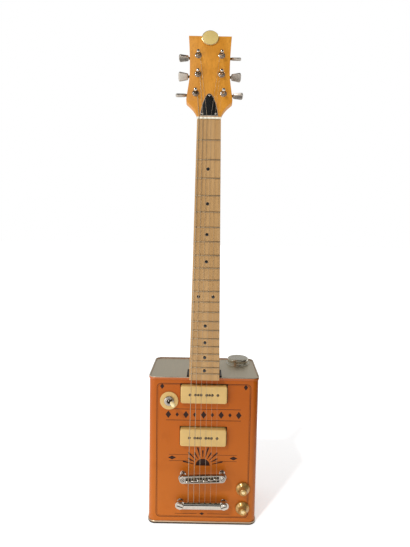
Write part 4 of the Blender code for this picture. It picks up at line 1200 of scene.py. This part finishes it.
# %% Tailpiece
TAILPIECE_BACK = 0.008
TAILPIECE_FRONT = 0.018
EAR_FRONT = 0.0132
STRING_HOLE_OUT = 0.0145
tail_at = FACE @ at((0, TAILPIECE_UP, 0))
stadium = rounded_rectangle(0.101, 0.0146, 0.0068, 14)
bar_body = slab(stadium, TAILPIECE_BACK, TAILPIECE_FRONT, 0.0066, 0.0024, 12)
cuts = []
for side in (-1, 1):
    xs = sorted((side * 0.0342, side * 0.06))
    cuts.append(box(xs, (-0.02, 0.02), (EAR_FRONT, 0.03)))
    cuts.append(cylinder(0.0037, (side * STUD_X, 0, 0), (side * STUD_X, 0, 0.03)))
for index in range(6):
    x = string_x(index, SADDLE_SPREAD)
    cuts.append(cylinder(0.0015, (x, -0.02, STRING_HOLE_OUT), (x, 0.02, STRING_HOLE_OUT), 16))
piece("stop_bar", boolean(bar_body, cuts), "bar_metal", tail_at, "tailpiece", ["tailpiece"])
for side, name in ((-1, "tailpiece_stud_bass"), (1, "tailpiece_stud_treble")):
    top = EAR_FRONT + 0.0036
    flange = TAILPIECE_BACK - GAP
    profile = [(0, top), (0.0050, top), (0.0060, top - 0.0004), (0.0065, top - 0.0012)]
    profile += [(0.0065, EAR_FRONT + GAP), (0.0034, EAR_FRONT + GAP), (0.0034, flange)]
    profile += [(0.0064, flange), (0.0064, flange - 0.0018), (0.0036, flange - 0.0018)]
    profile += [(0.0036, -0.022), (0, -0.022)]
    slot = box((-0.009, 0.009), (-0.0011, 0.0011), (top - 0.0016, top + 0.01))
    stud = boolean(turned(profile, 48), [slot])
    stud_at = tail_at @ at((side * STUD_X, 0, 0)) @ Matrix.Rotation(0.35 * side, 4, "Z")
    piece(f"{name}_screw", stud, "bar_metal", stud_at, name, [name])

# %% Bushings
bushing_places = [BRIDGE @ at((side * BRIDGE_POST_X, 0, 0)) for side in (-1, 1)]
bushing = fillet(((0.0030, 0.0001), (0.0056, 0.0001), (0.0054, 0.0009), (0.0030, 0.0011)), 0.0003)
piece("bridge_bushings", stamp(turned(bushing, 40, closed=True), bushing_places), "nickel")
insert_places = [tail_at @ at((side * STUD_X, 0, 0)) for side in (-1, 1)]
insert = fillet(((0.0038, 0.0001), (0.0064, 0.0001), (0.0062, 0.0010), (0.0038, 0.0012)), 0.0003)
piece("tailpiece_bushings", stamp(turned(insert, 40, closed=True), insert_places), "nickel")

# %% [markdown]
# ## Strings
#
# Six strings, the lower three wound. Each leaves its post, bends over the nut, runs to the crest
# of its saddle and drops to the tailpiece, where a brass ball stops it. The stretches that end
# on the bridge or tailpiece are each their own piece, with enough points along them to bend, and
# so is a short stretch on each side of a saddle's crest.

# %% Strings
SADDLE_REACH = 0.012
tail_half = 0.0073


def stretched(start, end, radius, count):
    points = [start.lerp(end, k / count) for k in range(count + 1)]
    return tube(points, radius, 10)


balls = []
for index, ((side, row), radius) in enumerate(zip(ROWS, STRING_RADII)):
    number = index + 1
    finish = "wound" if number < 4 else "steel"
    beside_post = side * (POST_X[row] - POST_WAIST - radius)
    x = string_x(index, SADDLE_SPREAD)
    leaves = HEAD @ Vector((beside_post, POST_UP[row], STRING_RISE - radius * 6.3))
    nut = NECK @ Vector((string_x(index, NUT_SPREAD), 0.0039, NUT_SLOT + radius))
    nut_front = NECK @ Vector((string_x(index, NUT_SPREAD), 0.0003, NUT_SLOT + GAP + radius))
    crest = BRIDGE @ Vector((x, SADDLE_OFFSETS[index], SADDLE_TOP + radius))
    tail = FACE @ Vector((x, TAILPIECE_UP + tail_half, STRING_HOLE_OUT))
    stop = FACE @ Vector((x, TAILPIECE_UP - tail_half + 0.003, STRING_HOLE_OUT))
    middle = crest.lerp(tail, 0.5)
    before = crest + (nut_front - crest).normalized() * SADDLE_REACH
    behind = crest + (tail - crest).normalized() * SADDLE_REACH
    piece(f"string_{number}_head", tube([leaves, nut, nut_front], radius, 10), finish)
    names = [f"string_{number}"]
    long_stretch = stretched(nut_front, before, radius, 48)
    main = piece(f"string_{number}_main", long_stretch, finish, body=None, stands_for=names)
    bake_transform(main)
    over = piece(f"string_{number}_over", stretched(before, crest, radius, 4), finish, body=None)
    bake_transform(over)
    past = piece(f"string_{number}_past", stretched(behind, crest, radius, 4), finish, body=None)
    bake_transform(past)
    upper = piece(f"string_{number}_after", stretched(middle, behind, radius, 6), finish, body=None)
    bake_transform(upper)
    lower = piece(f"string_{number}_tail", stretched(middle, tail, radius, 6), finish, body=None)
    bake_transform(lower)
    piece(f"string_{number}_end", tube([tail, stop], radius, 10), finish, body="tailpiece")
    ball_at = at(stop) @ Matrix.Rotation(math.pi / 2, 4, "Y")
    balls.append(placed(slab(circle(0.0013, 20), -0.0013, 0.0013, 0.0004, 0.0004, 2), ball_at))
piece("ball_ends", joined(*balls), "brass", body="tailpiece")

# %% [markdown]
# ## Knobs, switch and socket
#
# The two knobs are gold backed plastic: a wide thin flange that rises in a curve to a ribbed
# barrel with a small sunk disc. The switch sits in a cream ring under a ribbed nut, and its
# cream tip leans to one side. The plug socket is on the side wall.

# %% Knobs
for name, up in KNOBS_UP.items():
    profile = [(0, 0.0144), (0.0042, 0.0144), (0.0044, 0.0150), (0.0056, 0.0151), (0.0063, 0.0145)]
    profile += [(0.0065, 0.0135), (0.0068, 0.0105), (0.0074, 0.0085), (0.0090, 0.0066)]
    profile += [(0.0108, 0.0050), (0.0122, 0.0038), (0.0129, 0.0031), (0.0130, 0.0024)]
    profile += [(0.0130, 0.0014), (0.0126, 0.0009), (0.0085, 0.0009), (0.0085, 0.0035)]
    profile += [(0.0031, 0.0035), (0.0031, -0.0060), (0, -0.0060)]
    knob_at = FACE @ at((KNOB_X, up, 0))
    knob = turned(profile, 144, ribs=(36, 0.00016, 0.0080, 0.0140))
    piece(f"{name}_knob_gold", knob, "gold", knob_at, f"{name}_knob", [f"{name}_knob"])
    disc = turned(((0, 0.0148), (0.0030, 0.0147), (0.0034, 0.0144), (0.0034, 0.0140), (0, 0.0140)), 36)
    piece(f"{name}_knob_disc", disc, "badge_rim", knob_at, f"{name}_knob")

# %% Switch
toggle_at = FACE @ at((TOGGLE_X, TOGGLE_UP, 0))
ring = fillet(((0.0061, GAP), (0.0172, GAP), (0.0170, 0.0021), (0.0061, 0.0023)), 0.0009)
piece("switch_ring", turned(ring, 80, closed=True), "cream", toggle_at, stands_for=["toggle_ring"])
inside = -TIN - GAP
case = placed(slab(rounded_rectangle(0.020, 0.020, 0.001, 3), inside - 0.026, inside), at((-0.0015, 0, 0)))
low = inside - 0.001
sleeve = fillet(((0.0043, low), (0.0057, low), (0.0057, 0.0056), (0.0043, 0.0058)), 0.0004)
nut = ((0.0057, 0.0022), (0.0093, 0.0022), (0.0091, 0.0044), (0.0078, 0.0051), (0.0057, 0.0051))
nut_ring = turned(fillet(nut, 0.0006), 112, closed=True, ribs=(28, 0.00022, 0.0024, 0.0046))
bored = boolean(case, [cylinder(0.0050, (0, 0, -0.006), (0, 0, 0.01))])
switch = joined(bored, turned(sleeve, 48, closed=True), nut_ring)
# The switch's sleeve and nut are darkened nickel: painted dark reflection.
piece("switch_body", switch, "nickel_dark_reflection", toggle_at, stands_for=["toggle_switch"])
lever_at = toggle_at @ at((0, 0, 0.0015)) @ Matrix.Rotation(math.radians(25), 4, "Y")
tip = [(0, 0.0271), (0.0016, 0.0269), (0.0029, 0.0261), (0.0037, 0.0246), (0.0040, 0.0225)]
tip += [(0.0039, 0.0200), (0.0035, 0.0160), (0.0031, 0.0126), (0.0027, 0.0116), (0, 0.0114)]
piece("lever_tip", turned(tip, 40), "switch_tip", lever_at, "toggle_lever", ["toggle_lever"])
shank = [(0, 0.0118), (0.0015, 0.0118), (0.0015, 0.0021), (0.0024, 0.0011), (0.0027, -0.0002)]
shank += [(0.0023, -0.0015), (0.0013, -0.0024), (0.0013, -0.0042), (0, -0.0042)]
piece("lever_shank", turned(shank, 32), "chrome", lever_at, "toggle_lever")

# %% Plug socket
barrel = fillet(((0.00325, -0.026), (0.005, -0.026), (0.005, SEAM_OUT), (0.00325, SEAM_OUT)), 0.0003)
flange = fillet(((0.0049, -0.022), (0.0095, -0.022), (0.0095, inside), (0.0049, inside)), 0.0006)
washer = fillet(((0.0049, GAP / 3), (0.0088, GAP / 3), (0.0086, 0.0006), (0.0049, 0.0006)), 0.0002)
hexagon = slab(fillet(circle(0.0078, 6), 0.0006, 2), 0.0006, 0.0013, 0.0003)
hexagon = boolean(hexagon, [cylinder(0.0048, (0, 0, -0.01), (0, 0, 0.01))])
socket = joined(
    turned(barrel, 40, closed=True),
    turned(flange, 40, closed=True),
    turned(washer, 40, closed=True),
    hexagon,
)
piece("plug_socket", socket, "nickel", jack_at, stands_for=["output_jack"])

# %% [markdown]
# ## Floor, light and camera
#
# The guitar stands on a plain white floor that runs into a white background. One soft lamp from
# the upper left gives the posts and strings their shadows. Dark cards that only mirrors can see
# put dark bands into the plated metal, as a photographer's black flags do; the one beside the
# can also takes some light off its right side. The camera looks slightly down, with the small
# roll that the picture has.

# %% Studio


def flat_card(name, corners, colour):
    mesh = bpy.data.meshes.new(name)
    mesh.from_pydata(corners, [], [range(len(corners))])
    card_finish = Finish(name, colour, 1.0)
    card_finish.shader.inputs["Specular IOR Level"].default_value = 0
    mesh.materials.append(card_finish.material)
    card = bpy.data.objects.new(name, mesh)
    bpy.context.scene.collection.objects.link(card)
    return card


FLOOR = 30
floor_corners = [(-FLOOR, -FLOOR, 0), (FLOOR, -FLOOR, 0), (FLOOR, FLOOR, 0), (-FLOOR, FLOOR, 0)]
floor = flat_card("floor", floor_corners, (1, 1, 1))
floor_shader = floor.data.materials[0].node_tree.nodes["Principled BSDF"]
floor_shader.inputs["Emission Color"].default_value = (1, 1, 1, 1)
floor_shader.inputs["Emission Strength"].default_value = 0.5
flags = {
    "front_flag": [(-0.8, -2.2, 0.25), (1.0, -2.2, 0.25), (1.0, -2.2, 1.25), (-0.8, -2.2, 1.25)],
    "high_flag": [(-0.9, -1.6, 2.0), (1.2, -1.6, 2.0), (1.2, 0.5, 2.6), (-0.9, 0.5, 2.6)],
    "rear_flag": [(-0.4, 0.35, 0.01), (0.4, 0.35, 0.01), (0.4, 1.1, 0.01), (-0.4, 1.1, 0.01)],
    "side_flag": [(0.45, -0.75, 0.02), (0.45, 0.1, 0.02), (0.45, 0.1, 0.5), (0.45, -0.75, 0.5)],
}
for name, corners in flags.items():
    flag = flat_card(name, corners, (0.02, 0.02, 0.02))
    flag.visible_camera = False
    flag.visible_diffuse = name == "side_flag"
    flag.visible_shadow = False
    flag.visible_transmission = False

SKY = 0.5
STUDIO_WHITE = 1.0
world = bpy.data.worlds.new("studio")
bpy.context.scene.world = world
world.use_nodes = True
backdrop = world.node_tree.nodes["Background"]
backdrop.inputs["Color"].default_value = (1, 1, 1, 1)
path = world.node_tree.nodes.new("ShaderNodeLightPath")
strength = world.node_tree.nodes.new("ShaderNodeMapRange")
strength.inputs["To Min"].default_value = SKY
strength.inputs["To Max"].default_value = STUDIO_WHITE
world.node_tree.links.new(path.outputs["Is Camera Ray"], strength.inputs["Value"])
world.node_tree.links.new(strength.outputs["Result"], backdrop.inputs["Strength"])


def lamp(name, kind, energy, place, target, **settings):
    data = bpy.data.lights.new(name, kind)
    data.energy = energy
    for setting, value in settings.items():
        setattr(data, setting, value)
    made = bpy.data.objects.new(name, data)
    made.location = place
    made.rotation_euler = (Vector(target) - Vector(place)).to_track_quat("-Z", "Y").to_euler()
    bpy.context.scene.collection.objects.link(made)


lamp("key", "SUN", 1.0, (-0.8, -1.2, 1.5), (0, 0, 0), angle=math.radians(4))
lamp("side", "AREA", 4, (-1.1, -0.9, 0.35), (0, -0.05, 0.2), size=0.6)

CAMERA_LENS = 27.98
CAMERA_PLACE = (-0.0021, -0.8282, 0.5465)
CAMERA_DOWN = math.radians(4.82)
CAMERA_ROLL = math.radians(1.04)
camera_data = bpy.data.cameras.new("camera")
camera_data.lens = CAMERA_LENS
camera = bpy.data.objects.new("camera", camera_data)
bpy.context.scene.collection.objects.link(camera)
look = Matrix.Rotation(math.pi / 2 - CAMERA_DOWN, 4, "X") @ Matrix.Rotation(CAMERA_ROLL, 4, "Z")
camera.matrix_world = at(CAMERA_PLACE) @ look
bpy.context.scene.camera = camera
bpy.context.scene.view_settings.view_transform = "Standard"
